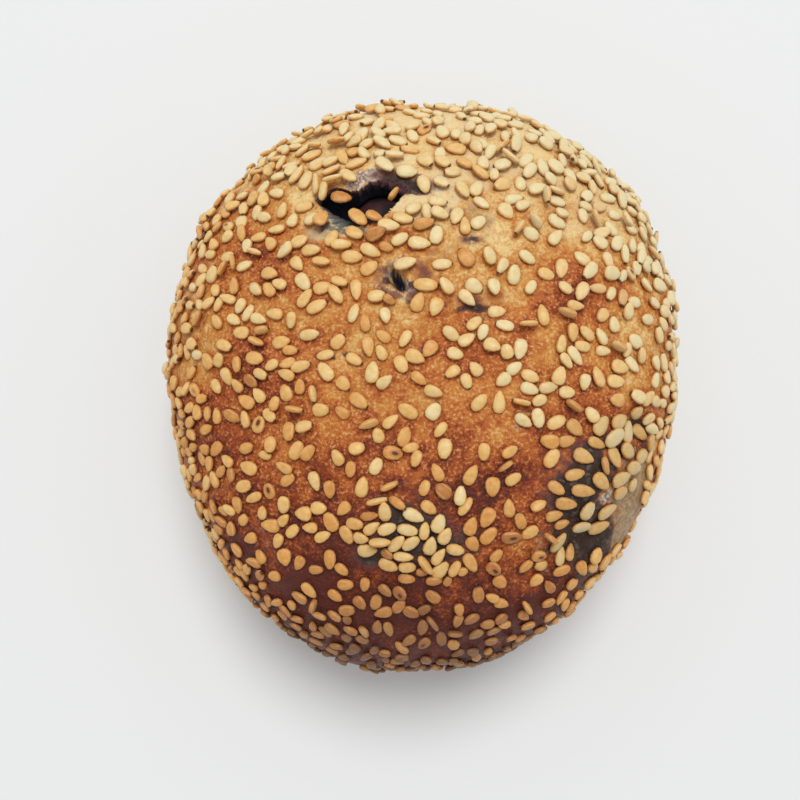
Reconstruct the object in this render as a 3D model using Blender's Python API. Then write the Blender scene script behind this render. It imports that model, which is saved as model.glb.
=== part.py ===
"""A black bean sesame bun: a domed crust set with sesame seeds, torn open near its broad end
over one of the beans baked into it.

Lengths are in millimetres and angles in degrees. MM turns a length into Blender's metres.
+Z is up, +Y points to the broad end, and the origin is the middle of the flat foot.
"""

import math

import bmesh
import bpy
import numpy as np
from mathutils import Matrix, Vector

MM = 0.001

# Bun: a round with three swells in plan, a full dome above the belly, a tucked side below
HEIGHT = 48.0
BELLY_HEIGHT = 19.0
ROUND_RADIUS = 41.2
SWELLS = (  # direction, rise, spread
    (56.0, 8.7, 34.0),
    (127.0, 9.0, 37.0),
    (259.0, 8.7, 38.0),
)
DOME_FULLNESS = 2.5
TUCK_FULLNESS = 2.4
TUCK_DEPTH = 1.15 * BELLY_HEIGHT
CENTRE = np.array([0.0, 0.0, BELLY_HEIGHT])

# Relief of the crust: x, y, half length, half width, turn, rise
MOUNDS = (
    (26.0, -17.0, 10.0, 7.0, 75.0, 1.7),  # bean under the right side
    (-2.5, -25.5, 9.0, 6.0, 5.0, 1.1),  # bean under the near side
    (-9.5, 33.0, 9.0, 2.6, 8.0, 1.5),  # upper lip of the tear, lifted
    (-9.0, 22.0, 7.0, 2.4, 12.0, 0.6),  # lower lip of the tear
    (23.0, -27.0, 6.0, 2.2, 35.0, -1.6),  # crease below the right bean
    (34.0, -8.5, 3.0, 2.6, 0.0, -1.6),  # pocket at the right edge
    (-15.0, 4.5, 8.0, 2.6, -4.0, -0.7),  # shallow fold left of the middle
    (9.5, 9.5, 6.0, 1.8, 8.0, -0.7),  # cracked fold right of the middle
    (-5.3, 14.8, 1.8, 1.1, -57.0, -1.6),  # pinhole
)
LUMP_RISE = 0.45
LUMP_LENGTH = 26.0

# Facets: the crust's triangles, halved in size where the relief is fine
FINE_PLACES = ((26.0, -18.0, 15.0), (-2.5, -25.5, 12.0), (-10.0, 27.0, 14.0))

# Tear: a mouth that dips in front of the bean and has a narrow tail, over an undercut pocket:
# x, y, z, half sizes, turn
MOUTH = (-12.2, 27.5, 45.5, 6.8, 2.7, 6.0, 6.0)
DIP = (-9.9, 25.9, 45.0, 4.2, 3.5, 5.0, 30.0)
TAIL = (-6.0, 30.0, 45.0, 4.5, 1.6, 4.0, 20.0)
POCKET = (-14.0, 27.4, 40.5, 6.3, 4.4, 5.2, 0.0)

# Bean in the pocket
BEAN_PLACE = (-7.9, 26.3, 39.2)
BEAN_HALF_SIZES = (5.2, 3.7, 3.3)
BEAN_TURN = 10.0
BEAN_BEND = 0.9
GAP = 0.3

# Seeds: teardrops pressed halfway into the crust, the largest of the bun's seeds
SEED_LENGTH = 3.3
SEED_WIDTH = 2.35
SEED_THICKNESS = 1.7
SEED_SIZE_SPREAD = 0.07
SEED_TAPER = 0.28
SEED_SIDES = 6
SEED_STEPS = 3
SEED_SPACING = 6.35
SEED_DRAWS = 9000
SEED_DRAW = 20
SEED_LIFT = -0.15
LOWEST_SEED = 6.0

# Thinner seeding: x, y, half sizes, share of the seeds left out
BARE_PLACES = (
    (0.0, -6.0, 20.0, 19.0, 0.55),
    (35.0, -22.0, 3.2, 7.0, 0.95),
    (-10.0, 31.5, 4.0, 2.5, 0.9),
)

CRUST_COLOUR = (0.46, 0.20, 0.075)
BEAN_COLOUR = (0.045, 0.022, 0.028)


def clear_scene():
    for item in list(bpy.data.objects):
        bpy.data.objects.remove(item)


def add_material(name, colour, roughness):
    material = bpy.data.materials.new(name)
    material.use_nodes = True
    shader = material.node_tree.nodes["Principled BSDF"]
    shader.inputs["Base Color"].default_value = (*colour, 1.0)
    shader.inputs["Roughness"].default_value = roughness
    shader.inputs["Metallic"].default_value = 0.0
    return material


def add_object(name, mesh, material=None):
    item = bpy.data.objects.new(name, mesh)
    bpy.context.scene.collection.objects.link(item)
    if material:
        mesh.materials.append(material)
    return item


def turned(x, y, degrees):
    """Plan coordinates along and across a direction that many degrees from +X."""
    angle = math.radians(degrees)
    along = x * math.cos(angle) + y * math.sin(angle)
    across = y * math.cos(angle) - x * math.sin(angle)
    return along, across


def plan_radius(angle):
    """Half width of the bun at its belly: a round, and a smooth swell in each direction."""
    radius = np.full_like(angle, ROUND_RADIUS)
    for direction, rise, spread in SWELLS:
        away = angle - math.radians(direction)
        radius += rise * np.exp((np.cos(away) - 1.0) / math.radians(spread) ** 2)
    return radius


def smooth_crust(ways):
    """Where each way out of the centre meets the bun without its relief.

    A superellipse from belly to top, a deeper one below the belly, cut flat at the foot.
    """
    level = np.hypot(ways[:, 0], ways[:, 1])
    rise = ways[:, 2]
    fullness = np.where(rise >= 0, DOME_FULLNESS, TUCK_FULLNESS)
    reach = (level**fullness + np.abs(rise) ** fullness) ** (-1.0 / fullness)
    radius = plan_radius(np.arctan2(ways[:, 1], ways[:, 0])) * reach
    height = np.where(rise >= 0, HEIGHT - BELLY_HEIGHT, TUCK_DEPTH)
    points = np.empty_like(ways)
    points[:, 0] = ways[:, 0] * radius
    points[:, 1] = ways[:, 1] * radius
    points[:, 2] = BELLY_HEIGHT + rise * reach * height
    return points


def relief(points):
    """How far the crust stands out at each point: soft lumps, and the named mounds on top."""
    x, y, z = (points * (2 * math.pi / LUMP_LENGTH)).T
    lumps = np.sin(x + 1.3 * np.sin(0.7 * y)) * np.sin(0.9 * y + 0.8 * z + 1.0)
    rise = LUMP_RISE * lumps
    above = np.clip((points[:, 2] - BELLY_HEIGHT) / BELLY_HEIGHT, 0.0, 1.0)
    for place_x, place_y, length, width, turn, height in MOUNDS:
        along, across = turned(points[:, 0] - place_x, points[:, 1] - place_y, turn)
        rise += above * height * np.exp(-((along / length) ** 2) - (across / width) ** 2)
    return rise


def crust(ways):
    """The crust's points along the given ways out of the centre."""
    points = smooth_crust(ways)
    points += ways * relief(points)[:, None]
    points[:, 2] = np.maximum(points[:, 2], 0.0)
    return points


def unit(vectors):
    return vectors / np.linalg.norm(vectors, axis=1, keepdims=True)


def crust_normals(ways):
    """Outward normals, from two short steps sideways along the crust."""
    step = 0.01
    side = unit(np.cross(ways, np.where(np.abs(ways[:, 2:]) > 0.9, (1.0, 0, 0), (0, 0, 1.0))))
    up = np.cross(ways, side)
    here = crust(ways)
    across = crust(unit(ways + step * side)) - here
    along = crust(unit(ways + step * up)) - here
    return unit(np.cross(across, along))


def move_to_crust(bm):
    """Move every vertex along its own way out of the centre until it lies on the crust."""
    places = np.array([vertex.co for vertex in bm.verts])
    for vertex, point in zip(bm.verts, crust(unit(places - CENTRE))):
        vertex.co = point


def halve_edges(bm):
    """Split the edges of the dome that lie in the fine places."""
    edges = set()
    for edge in bm.edges:
        middle = (edge.verts[0].co + edge.verts[1].co) / 2
        for x, y, reach in FINE_PLACES:
            if middle.z > BELLY_HEIGHT and math.hypot(middle.x - x, middle.y - y) < reach:
                edges.add(edge)
    bmesh.ops.subdivide_edges(bm, edges=list(edges), cuts=1, use_grid_fill=True)
    bmesh.ops.triangulate(bm, faces=bm.faces)


def mesh_in_metres(bm, name):
    bmesh.ops.scale(bm, vec=(MM, MM, MM), verts=bm.verts)
    mesh = bpy.data.meshes.new(name)
    bm.to_mesh(mesh)
    bm.free()
    return mesh


def make_bun(material):
    bm = bmesh.new()
    bmesh.ops.create_icosphere(bm, subdivisions=4, radius=1.0)
    bmesh.ops.translate(bm, vec=CENTRE, verts=bm.verts)
    move_to_crust(bm)
    halve_edges(bm)
    move_to_crust(bm)
    return add_object("bun", mesh_in_metres(bm, "bun"), material)


def make_ellipsoid(name, sizes):
    x, y, z, length, width, height, turn = sizes
    bm = bmesh.new()
    bmesh.ops.create_icosphere(bm, subdivisions=2, radius=1.0)
    bmesh.ops.scale(bm, vec=(length, width, height), verts=bm.verts)
    place = Matrix.Translation((x, y, z)) @ Matrix.Rotation(math.radians(turn), 4, "Z")
    bmesh.ops.transform(bm, matrix=place, verts=bm.verts)
    return add_object(name, mesh_in_metres(bm, name))


def make_bean(name, grown, material=None):
    """A bean: an ellipsoid bent a little like a kidney, and grown all round for its bed."""
    bm = bmesh.new()
    bmesh.ops.create_icosphere(bm, subdivisions=3, radius=1.0)
    length, width, height = (half + grown for half in BEAN_HALF_SIZES)
    bmesh.ops.scale(bm, vec=(length, width, height), verts=bm.verts)
    for vertex in bm.verts:
        vertex.co.y += BEAN_BEND * (0.5 - (vertex.co.x / length) ** 2)
    turn = Matrix.Rotation(math.radians(BEAN_TURN), 4, "Z")
    bmesh.ops.transform(bm, matrix=Matrix.Translation(BEAN_PLACE) @ turn, verts=bm.verts)
    bean = add_object(name, mesh_in_metres(bm, name), material)
    bean.data.shade_smooth()
    return bean


def apply_boolean(item, operation, other=None, group=None):
    """Apply a Boolean with one object or with a collection, then remove what it used."""
    modifier = item.modifiers.new(operation.lower(), "BOOLEAN")
    modifier.operation = operation
    modifier.solver = "EXACT"
    if group:
        modifier.operand_type = "COLLECTION"
        modifier.collection = group
    else:
        modifier.object = other
    bpy.context.view_layer.update()
    result = bpy.data.meshes.new_from_object(item.evaluated_get(bpy.context.evaluated_depsgraph_get()))
    item.modifiers.remove(modifier)
    item.data = result
    for used in list(group.objects) if group else [other]:
        bpy.data.objects.remove(used)


def seed_share(points):
    """How thickly each point is seeded, from 0 to 1."""
    share = np.clip((points[:, 2] - LOWEST_SEED) / LOWEST_SEED, 0.0, 1.0)
    for x, y, half_x, half_y, left_out in BARE_PLACES:
        near = np.exp(-(((points[:, 0] - x) / half_x) ** 2) - ((points[:, 1] - y) / half_y) ** 2)
        share *= 1.0 - left_out * near
    return share


def off_the_tear(points):
    """True where a seed would lie clear of the tear."""
    clear = np.ones(len(points), bool)
    for x, y, _, length, width, _, turn in (MOUTH, DIP, TAIL):
        along, across = turned(points[:, 0] - x, points[:, 1] - y, turn)
        edge = SEED_LENGTH * 0.7
        clear &= (along / (length + edge)) ** 2 + (across / (width + edge)) ** 2 > 1.0
    return clear | (points[:, 2] < BELLY_HEIGHT)


def scatter_seeds():
    """Places, normals, turns and sizes of the seeds.

    Ways out of the centre are drawn evenly over the sphere and kept by the crust's area and
    its seeding, then taken in order wherever the last ones are SEED_SPACING away or more.
    """
    draw = np.random.default_rng(SEED_DRAW)
    ways = unit(draw.normal(size=(SEED_DRAWS, 3)))
    chance = draw.random(SEED_DRAWS)
    turn = draw.random(SEED_DRAWS) * 2.0 * math.pi
    size = 1.0 + SEED_SIZE_SPREAD * draw.uniform(-1.0, 1.0, SEED_DRAWS)
    points = crust(ways)
    normals = crust_normals(ways)
    reach = points - CENTRE
    area = np.sum(reach**2, axis=1) / np.sum(ways * normals, axis=1)
    wanted = (chance < seed_share(points) * area / area.max()) & off_the_tear(points)
    taken = []
    for index in np.flatnonzero(wanted):
        if not taken or np.linalg.norm(points[taken] - points[index], axis=1).min() > SEED_SPACING:
            taken.append(index)
    return points[taken], normals[taken], turn[taken], size[taken]


def make_seed_mesh():
    """A teardrop lying along X: rings of SEED_SIDES points between two tips."""
    bm = bmesh.new()
    bmesh.ops.create_uvsphere(bm, u_segments=SEED_SIDES, v_segments=SEED_STEPS, radius=1.0)
    for vertex in bm.verts:
        across, up, along = vertex.co
        width = 1.0 - SEED_TAPER * along
        vertex.co = (
            along * SEED_LENGTH / 2,
            across * width * SEED_WIDTH / 2,
            up * width * SEED_THICKNESS / 2,
        )
    return mesh_in_metres(bm, "seed")


def add_seeds(bun):
    """Press each seed into the bun's facet under its place, and join them all to the bun."""
    seeds = bpy.data.collections.new("seeds")
    bpy.context.scene.collection.children.link(seeds)
    mesh = make_seed_mesh()
    centre = Vector(CENTRE) * MM
    for place, normal, turn, size in zip(*scatter_seeds()):
        way = Vector(place) * MM - centre
        facet = bun.ray_cast(centre + 2.0 * way, -way)[1]
        out = Vector(normal)
        lie = out.to_track_quat("Z", "Y").to_matrix().to_4x4() @ Matrix.Rotation(turn, 4, "Z")
        seed = bpy.data.objects.new("seed", mesh)
        lifted = facet + out * SEED_LIFT * MM
        seed.matrix_world = Matrix.Translation(lifted) @ lie @ Matrix.Scale(size, 4)
        seeds.objects.link(seed)
    apply_boolean(bun, "UNION", group=seeds)
    bpy.data.collections.remove(seeds)


def main():
    clear_scene()
    crust_material = add_material("browned_crust", CRUST_COLOUR, 0.55)
    bean_material = add_material("black_bean", BEAN_COLOUR, 0.35)
    bun = make_bun(crust_material)
    cutters = [make_ellipsoid("tear_cutter", sizes) for sizes in (MOUTH, DIP, TAIL, POCKET)]
    cutters.append(make_bean("bean_bed", GAP))
    for cutter in cutters:
        apply_boolean(bun, "DIFFERENCE", other=cutter)
    add_seeds(bun)
    make_bean("bean", 0.0, bean_material)


main()
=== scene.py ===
"""The looks of a black bean sesame bun: its browned crust with the tear over a bean, the bean,
its sesame seeds, and a plain pale table under soft light.

Lengths are in millimetres and angles in degrees. MM turns a length into Blender's metres.
"""

import math

import bpy
import numpy as np
from bpy.props import FloatProperty, FloatVectorProperty, IntProperty, PointerProperty
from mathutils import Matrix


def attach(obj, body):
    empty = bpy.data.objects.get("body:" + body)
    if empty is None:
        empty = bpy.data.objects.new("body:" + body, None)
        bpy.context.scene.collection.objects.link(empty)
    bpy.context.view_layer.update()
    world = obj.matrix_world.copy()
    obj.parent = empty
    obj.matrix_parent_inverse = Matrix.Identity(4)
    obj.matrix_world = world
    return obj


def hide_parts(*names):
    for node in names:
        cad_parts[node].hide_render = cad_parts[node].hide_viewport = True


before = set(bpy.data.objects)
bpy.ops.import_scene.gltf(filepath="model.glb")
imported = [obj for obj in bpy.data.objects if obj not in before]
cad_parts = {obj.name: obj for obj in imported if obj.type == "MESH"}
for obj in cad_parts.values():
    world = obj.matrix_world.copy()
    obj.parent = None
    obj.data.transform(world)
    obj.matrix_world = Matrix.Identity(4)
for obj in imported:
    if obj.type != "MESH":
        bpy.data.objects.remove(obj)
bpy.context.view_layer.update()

bl_info = {
    "name": "Black bean sesame bun",
    "version": (1, 0, 0),
    "blender": (4, 5, 0),
    "location": "View3D > Sidebar > Bun",
    "description": "Builds the crust, the bean, the sesame seeds and the stage of a bun",
    "category": "Add Mesh",
}

MM = 0.001
WAVES = 22  # sine waves in each noise

# Bun: a round with three swells in plan, a full dome above the belly, a tucked side below
HEIGHT = 48.0
BELLY_HEIGHT = 19.0
ROUND_RADIUS = 41.2
SWELLS = (  # direction, rise, spread
    (56.0, 8.7, 34.0),
    (127.0, 9.0, 37.0),
    (259.0, 8.7, 38.0),
)
DOME_FULLNESS = 2.5
TUCK_FULLNESS = 2.4
TUCK_DEPTH = 1.15 * BELLY_HEIGHT
CENTRE = np.array([0.0, 0.0, BELLY_HEIGHT])

# Relief of the crust: x, y, half length, half width, turn, rise
MOUNDS = (
    (26.0, -17.0, 10.0, 7.0, 75.0, 1.7),  # bean under the right side
    (-2.5, -25.5, 9.0, 6.0, 5.0, 1.1),  # bean under the near side
    (-9.5, 33.0, 9.0, 2.6, 8.0, 1.5),  # upper lip of the tear, lifted
    (-9.0, 22.0, 7.0, 2.4, 12.0, 0.6),  # lower lip of the tear
    (23.0, -27.0, 6.0, 2.2, 35.0, -1.6),  # crease below the right bean
    (34.0, -8.5, 3.0, 2.6, 0.0, -1.6),  # pocket at the right edge
    (-15.0, 4.5, 8.0, 2.6, -4.0, -0.7),  # shallow fold left of the middle
    (9.5, 9.5, 6.0, 1.8, 8.0, -0.7),  # cracked fold right of the middle
    (-5.3, 14.8, 1.8, 1.1, -57.0, -1.6),  # pinhole
)
LUMP_RISE = 0.45
LUMP_LENGTH = 26.0

# Small relief that only the looks have: wrinkles, the pinhole's deep middle, its lifted skin
WRINKLE_RISE = 0.10
WRINKLE_LENGTH = 3.2
GRAIN_RISE = 0.04
GRAIN_LENGTH = 1.1
PINHOLE = (-5.2, 14.7, 1.9, 0.80, -60.0)
FINE_MOUNDS = (
    (-5.2, 14.7, 1.9, 0.8, -60.0, -2.8),
    (-8.0, 13.5, 3.6, 0.32, -13.0, 0.45),
    (-3.3, 13.8, 1.6, 0.7, -55.0, 0.25),
    (-6.9, 15.4, 1.2, 0.6, -57.0, 0.20),
)

# Tear: its middle on the crust, and its edge from there in plan, anticlockwise
TEAR_MIDDLE = (-10.4, 27.4)
EDGE_STEPS = 720
TEAR_EDGE = (
    (5.1, 0.1), (6.1, 1.2), (7.1, 2.2), (7.5, 3.1), (6.2, 3.8), (4.2, 4.1), (2.3, 4.0),
    (0.5, 3.7), (-0.3, 3.1), (-1.1, 2.3), (-2.6, 2.6), (-4.0, 3.2), (-5.9, 3.0), (-7.7, 2.3),
    (-8.6, 1.3), (-7.8, 0.3), (-6.7, -1.1), (-5.9, -2.8), (-4.7, -4.2), (-3.6, -4.6),
    (-2.6, -4.5), (-1.5, -4.4), (-0.1, -4.3), (1.6, -3.5), (2.9, -2.2), (3.8, -1.6), (4.5, -0.7),
)
LOBES = 0.12
LOBE_LENGTH = 1.9
FRAY = 0.32
FRAY_LENGTH = 0.5
FRAY_WAY = 325.0
CRUMB_WAY = 226.0
LEDGES = ((CRUMB_WAY, 33.0, 0.50), (26.0, 20.0, 0.24))  # direction, spread, how far they reach in
# The pocket under it: reach as a share of the edge's, and depth, from the edge to the bottom
POCKET_ROWS = 34
POCKET_PROFILE = (
    (1.0, 0.0), (0.97, 0.2), (0.955, 0.5), (0.98, 1.0), (1.05, 1.7), (1.14, 2.6), (1.2, 3.6),
    (1.2, 4.8), (1.12, 6.0), (0.95, 7.1), (0.7, 7.9), (0.4, 8.4), (0.15, 8.6), (0.0, 8.6),
)
POCKET_DRIFT = (0.8, -1.0, 0.0)
# Rows of the crust beyond the tear: the way round to the foot, where fine rows end, step growth
WAY_ROUND = 128.0
FINE_ROWS_END = 18.0
ROW_GROWTH = 1.12

# Bean in the pocket
BEAN_PLACE = (-7.9, 26.3, 39.2)
BEAN_HALF_SIZES = (5.2, 3.7, 3.3)
BEAN_TURN = 10.0
BEAN_BEND = 0.9
BEAN_GAP = 0.15
BEAN_ROWS = 48
BEAN_COLUMNS = 72

# Seeds that the solid bun has, repeated here in the same order
ANCHOR_TRIES = 9000
ANCHOR_START = 20  # where its random numbers start
ANCHOR_SPACING = 6.35
ANCHOR_SIZE_SPREAD = 0.07
LOWEST_SEED = 6.0
TEAR_OVALS = (  # x, y, half sizes, turn
    (-12.2, 27.5, 6.8, 2.7, 6.0),
    (-9.9, 25.9, 4.2, 3.5, 30.0),
    (-6.0, 30.0, 4.5, 1.6, 20.0),
)
CLEAR_OF_TEAR = 0.7 * 3.3
ANCHOR_CHANGES = (  # x, y, half sizes, change in how thickly they lie
    (0.0, -6.0, 20.0, 19.0, -0.55),
    (35.0, -22.0, 3.2, 7.0, -0.95),
    (-10.0, 31.5, 4.0, 2.5, -0.9),
)

# Smaller seeds, and the places where they lie thinner or thicker: x, y, half sizes, change
SMALL_START = 50
SMALL_CHANGES = (
    (8.0, -3.0, 13.0, 11.0, -0.42),
    (34.5, -23.0, 3.4, 6.5, -0.95),
    (6.5, 22.5, 4.0, 4.0, -0.5),
    (8.0, 10.5, 6.0, 2.0, -0.5),
    (16.0, -28.0, 6.0, 4.0, -0.4),
    (11.0, -23.0, 7.0, 6.0, -0.45),
    (-13.0, 4.0, 10.0, 7.0, 0.4),
    (-34.0, 0.0, 10.0, 26.0, 0.35),
    (-30.0, -26.0, 12.0, 12.0, 0.45),
    (40.0, 6.0, 9.0, 20.0, 0.45),
    (10.0, 38.0, 34.0, 12.0, 0.75),
    (4.0, -42.0, 26.0, 8.0, 0.15),
    (33.0, 24.0, 10.0, 12.0, 0.5),
)
SMALL_SIZE_SPREAD = 0.10
ON_EDGE = 0.07  # share of the seeds on top that stand on edge
WELL_TOASTED = 0.06  # share of the seeds that are toasted much more than the rest
WIDEST_REACH = 4.4
SEED_SQUARENESS = 2.3
SEED_RINGS = 5
SEED_AROUND = 10

# Seeds placed one by one: x, y, turn, length, width, toast, and roll and lift if not the usual
USUAL_ROLL_AND_LIFT = (0, 0.10)
PLACED_SEEDS = (
    # round the tear and the pinhole
    (-18.2, 30.9, 95, 3.7, 1.7, 0.05, 48, 0.50), (-17.2, 29.8, 86, 3.1, 1.7, 0.15, 45, 0.25),
    (-15.6, 31.2, 14, 3.1, 1.7, 0.00, 50, 0.60), (-14.4, 28.9, -8, 3.2, 2.2, 0.75, 8, -0.50),
    (-13.1, 32.0, -39, 3.1, 2.0, 0.15, 12, 0.35), (-15.8, 33.1, 27, 3.1, 2.4, 0.15, 15, 0.20),
    (-11.8, 34.5, 14, 3.6, 2.5, 0.20), (-7.2, 33.7, -42, 3.5, 2.2, 0.00, 8, 0.20),
    (-3.8, 32.8, -4, 3.2, 2.3, 0.00), (-1.0, 30.6, -77, 3.0, 2.2, 0.10),
    (-5.8, 28.9, 62, 2.4, 1.8, 0.30, 85, -0.30), (-11.4, 24.4, -51, 3.6, 2.4, 0.45, 12, 0.30),
    (-8.9, 24.4, -25, 2.7, 2.1, 0.60, 18, 0.00), (-18.8, 24.8, 29, 2.6, 2.1, 0.05, 10, 0.20),
    (-17.4, 24.3, 63, 2.9, 2.3, 0.50, 15, 0.40), (-15.5, 21.2, 65, 2.9, 2.0, 0.30),
    (-11.7, 21.5, -28, 2.9, 2.1, 0.35), (-13.8, 19.8, -1, 3.2, 1.7, 0.25, 10, 0.10),
    (-6.5, 22.4, -4, 3.3, 2.1, 0.15, 0, 0.45), (-8.3, 21.2, 21, 3.3, 2.1, 0.85, 0, 0.00),
    (-4.3, 24.1, -9, 3.2, 2.0, 0.20, 0, 0.20), (-2.7, 26.0, 32, 2.7, 2.0, 0.10, 0, 0.20),
    (-0.6, 25.2, -80, 2.5, 1.8, 0.05, 20, 0.30), (-1.0, 23.2, 14, 3.3, 1.9, 0.65),
    (-4.7, 20.5, 30, 2.9, 1.9, 0.10, 0, 0.15), (-1.7, 19.6, -7, 3.3, 2.2, 0.10, 0, 0.30),
    (-9.2, 18.6, -27, 3.2, 2.0, 0.25), (-6.8, 19.2, -19, 2.2, 1.6, 0.65),
    (-9.3, 15.9, 32, 3.0, 2.2, 0.45), (-3.7, 16.0, 12, 3.4, 2.1, 0.10, 0, 0.45),
    (-0.7, 12.5, -5, 3.7, 2.2, 0.35, 0, 0.20), (0.9, 21.0, 79, 3.0, 2.3, 0.00, 0, 0.30),
    (-12.1, 17.8, -2, 3.1, 2.2, 0.30), (-17.2, 17.5, -14, 2.9, 1.6, 0.30, 20, 0.10),
    (-20.1, 14.3, -55, 3.0, 2.3, 0.10), (-16.9, 13.3, 12, 3.0, 2.1, 0.35),
    (-14.1, 13.8, -19, 2.6, 1.7, 0.30, 15, 0.30), (-14.7, 11.9, -57, 3.2, 1.9, 0.30, 0, 0.20),
    (-11.3, 12.3, -85, 3.2, 1.9, 0.30), (-17.8, 10.3, 24, 3.3, 2.1, 0.30),
    (-8.0, 11.0, 8, 2.7, 2.1, 0.25, 0, 0.40), (-6.2, 10.3, -30, 2.1, 1.4, 0.75),
    (1.7, 15.7, 5, 3.0, 1.9, 0.10), (-18.9, 19.5, -7, 3.3, 2.0, 0.25),
    (-20.8, 21.0, 16, 2.8, 2.3, 0.20), (-20.3, 27.3, 7, 2.9, 2.1, 0.30),
    (-21.1, 17.3, -51, 2.5, 2.0, 0.25), (1.4, 25.0, -23, 2.9, 2.0, 0.10),
    (1.2, 27.2, -5, 2.9, 2.0, 0.10, 0, 0.30), (-14.3, 36.4, -62, 3.7, 2.0, 0.30),
    (-12.3, 37.2, 18, 2.3, 1.9, 0.40), (-18.4, 35.8, 33, 3.4, 2.5, 0.15, 0, 0.20),
    (-19.6, 37.8, 32, 3.4, 2.3, 0.20), (-20.3, 32.4, 84, 3.7, 2.4, 0.15),
    (-21.7, 33.3, 68, 3.7, 2.4, 0.10),
    # on the stain near the front
    (-2.8, -22.2, -25, 3.2, 2.0, 0.05), (-8.1, -20.1, 18, 3.2, 1.8, 0.15, 75, 0.50),
    (-7.2, -21.4, 100, 3.0, 2.0, 0.20, 10, 0.10), (-3.7, -24.4, -12, 3.1, 1.9, 0.05, 0, 0.30),
    (-9.1, -24.1, 35, 2.7, 1.7, 0.15), (-6.9, -24.0, 15, 2.8, 1.9, 0.10, 0, 0.50),
    (-10.6, -25.5, 1, 2.4, 1.9, 0.15), (-7.8, -25.6, -3, 3.1, 1.8, 0.15, 78, 0.40),
    (-5.4, -26.2, 48, 3.0, 1.8, 0.10, 20, 0.20), (-3.3, -26.2, 30, 2.9, 2.1, 0.05),
    (-1.2, -24.5, 80, 2.6, 1.7, 0.15), (1.0, -23.3, 72, 2.9, 2.2, 0.00, 0, 0.30),
    (1.9, -25.2, 65, 2.6, 2.1, 0.10, 0, 0.20), (-0.3, -26.7, 80, 2.8, 2.1, 0.05, 0, 0.30),
    (0.9, -28.1, 55, 2.8, 1.6, 0.15, 30, 0.30), (3.6, -27.4, -12, 2.7, 1.9, 0.15),
    (-9.8, -27.5, 9, 2.9, 2.2, 0.10), (-4.3, -28.2, -6, 2.9, 1.5, 0.10, 30, 0.20),
    (-6.6, -27.9, -30, 2.0, 1.5, 0.80), (-6.6, -29.7, -22, 2.9, 2.2, 0.20),
    (-3.7, -30.0, -5, 2.6, 2.0, 0.20), (-0.9, -29.4, -50, 3.4, 1.8, 0.25, 70, 0.40),
    (1.3, -30.2, 45, 3.0, 2.3, 0.15, 0, 0.20), (3.4, -30.1, 61, 2.7, 1.6, 0.25, 25, 0.10),
    (6.0, -29.5, -59, 3.1, 2.0, 0.40), (4.7, -30.7, -1, 1.6, 1.5, 0.40),
    (-3.7, -31.7, -5, 2.6, 1.5, 0.65, 30, 0.10), (0.4, -31.9, 5, 2.3, 1.7, 0.65),
    (2.5, -32.1, 71, 1.8, 1.3, 0.65), (-1.4, -30.7, 0, 1.8, 1.3, 0.70),
    (-0.5, -21.1, -38, 2.6, 1.9, 0.45), (-5.1, -20.3, -35, 3.1, 1.5, 0.60),
    (-9.4, -22.4, 10, 3.0, 1.4, 0.70), (-11.6, -23.5, -9, 2.7, 1.9, 0.40),
    (-12.9, -25.2, -65, 2.9, 2.1, 0.35), (5.1, -20.7, 55, 3.1, 1.6, 0.35, 20, 0.30),
    (4.3, -19.1, 85, 2.9, 1.9, 0.10), (6.0, -23.8, 70, 2.8, 2.1, 0.50),
    (6.3, -26.6, -59, 2.4, 2.1, 0.50),
    # on the stain at the right
    (26.8, -8.2, 48, 3.5, 2.4, 0.20), (29.7, -7.5, 20, 3.5, 2.5, 0.20),
    (28.5, -10.0, 39, 3.7, 2.5, 0.00, 0, 0.35), (31.2, -9.1, 62, 3.7, 2.2, 0.10, 15, 0.20),
    (25.9, -11.1, -18, 2.9, 1.8, 0.45), (33.3, -5.7, 61, 2.2, 2.4, 0.20),
    (34.3, -9.0, -33, 3.2, 2.3, 0.35), (35.4, -10.5, -53, 2.8, 2.1, 0.30),
    (22.3, -8.7, -44, 2.9, 2.3, 0.50), (21.0, -10.8, 10, 2.8, 1.9, 0.50),
    (23.7, -13.2, -24, 3.2, 2.3, 0.35), (28.8, -13.2, -62, 3.3, 2.2, 0.30),
    (27.0, -14.6, -74, 2.8, 1.7, 0.50, 30, 0.30), (31.2, -12.1, -18, 3.7, 2.5, 0.20),
    (34.3, -12.7, 3, 3.7, 2.5, 0.15), (32.4, -14.6, -12, 3.7, 2.5, 0.15),
    (22.3, -16.0, 12, 3.1, 1.9, 0.40), (26.4, -16.9, -41, 3.1, 2.3, 0.35),
    (30.0, -16.4, 7, 3.7, 2.5, 0.20), (32.8, -17.4, 84, 2.2, 2.3, 0.10),
    (30.3, -18.6, -14, 3.7, 2.5, 0.30), (19.4, -18.1, -34, 2.8, 1.9, 0.50),
    (23.5, -18.4, -9, 3.6, 2.0, 0.45), (20.9, -20.4, -8, 3.3, 2.0, 0.50),
    (24.5, -21.4, 68, 3.1, 2.4, 0.10), (28.3, -21.6, 9, 3.7, 2.5, 0.15),
    (19.0, -22.2, 9, 2.7, 1.8, 0.50), (20.1, -23.3, -1, 2.6, 1.6, 0.50),
    (23.5, -23.5, -30, 3.7, 2.5, 0.00, 0, 0.30), (27.0, -24.1, 10, 3.6, 2.3, 0.35),
    (20.1, -26.4, 94, 3.7, 2.5, 0.15), (20.7, -28.8, 81, 2.9, 1.7, 0.20),
    (22.2, -28.2, 80, 2.6, 1.5, 0.50), (15.2, -2.8, -19, 2.8, 2.0, 0.00),
    (18.0, -2.5, 9, 2.9, 1.9, 0.10),
)
PLACED_OVALS = (  # where others keep away from them: x, y, half sizes, turn
    (-10.4, 22.3, 11.9, 12.6, 0.0),
    (-3.3, -25.9, 11.0, 7.2, 0.0),
    (27.0, -17.5, 9.0, 11.0, 0.0),
)

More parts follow.
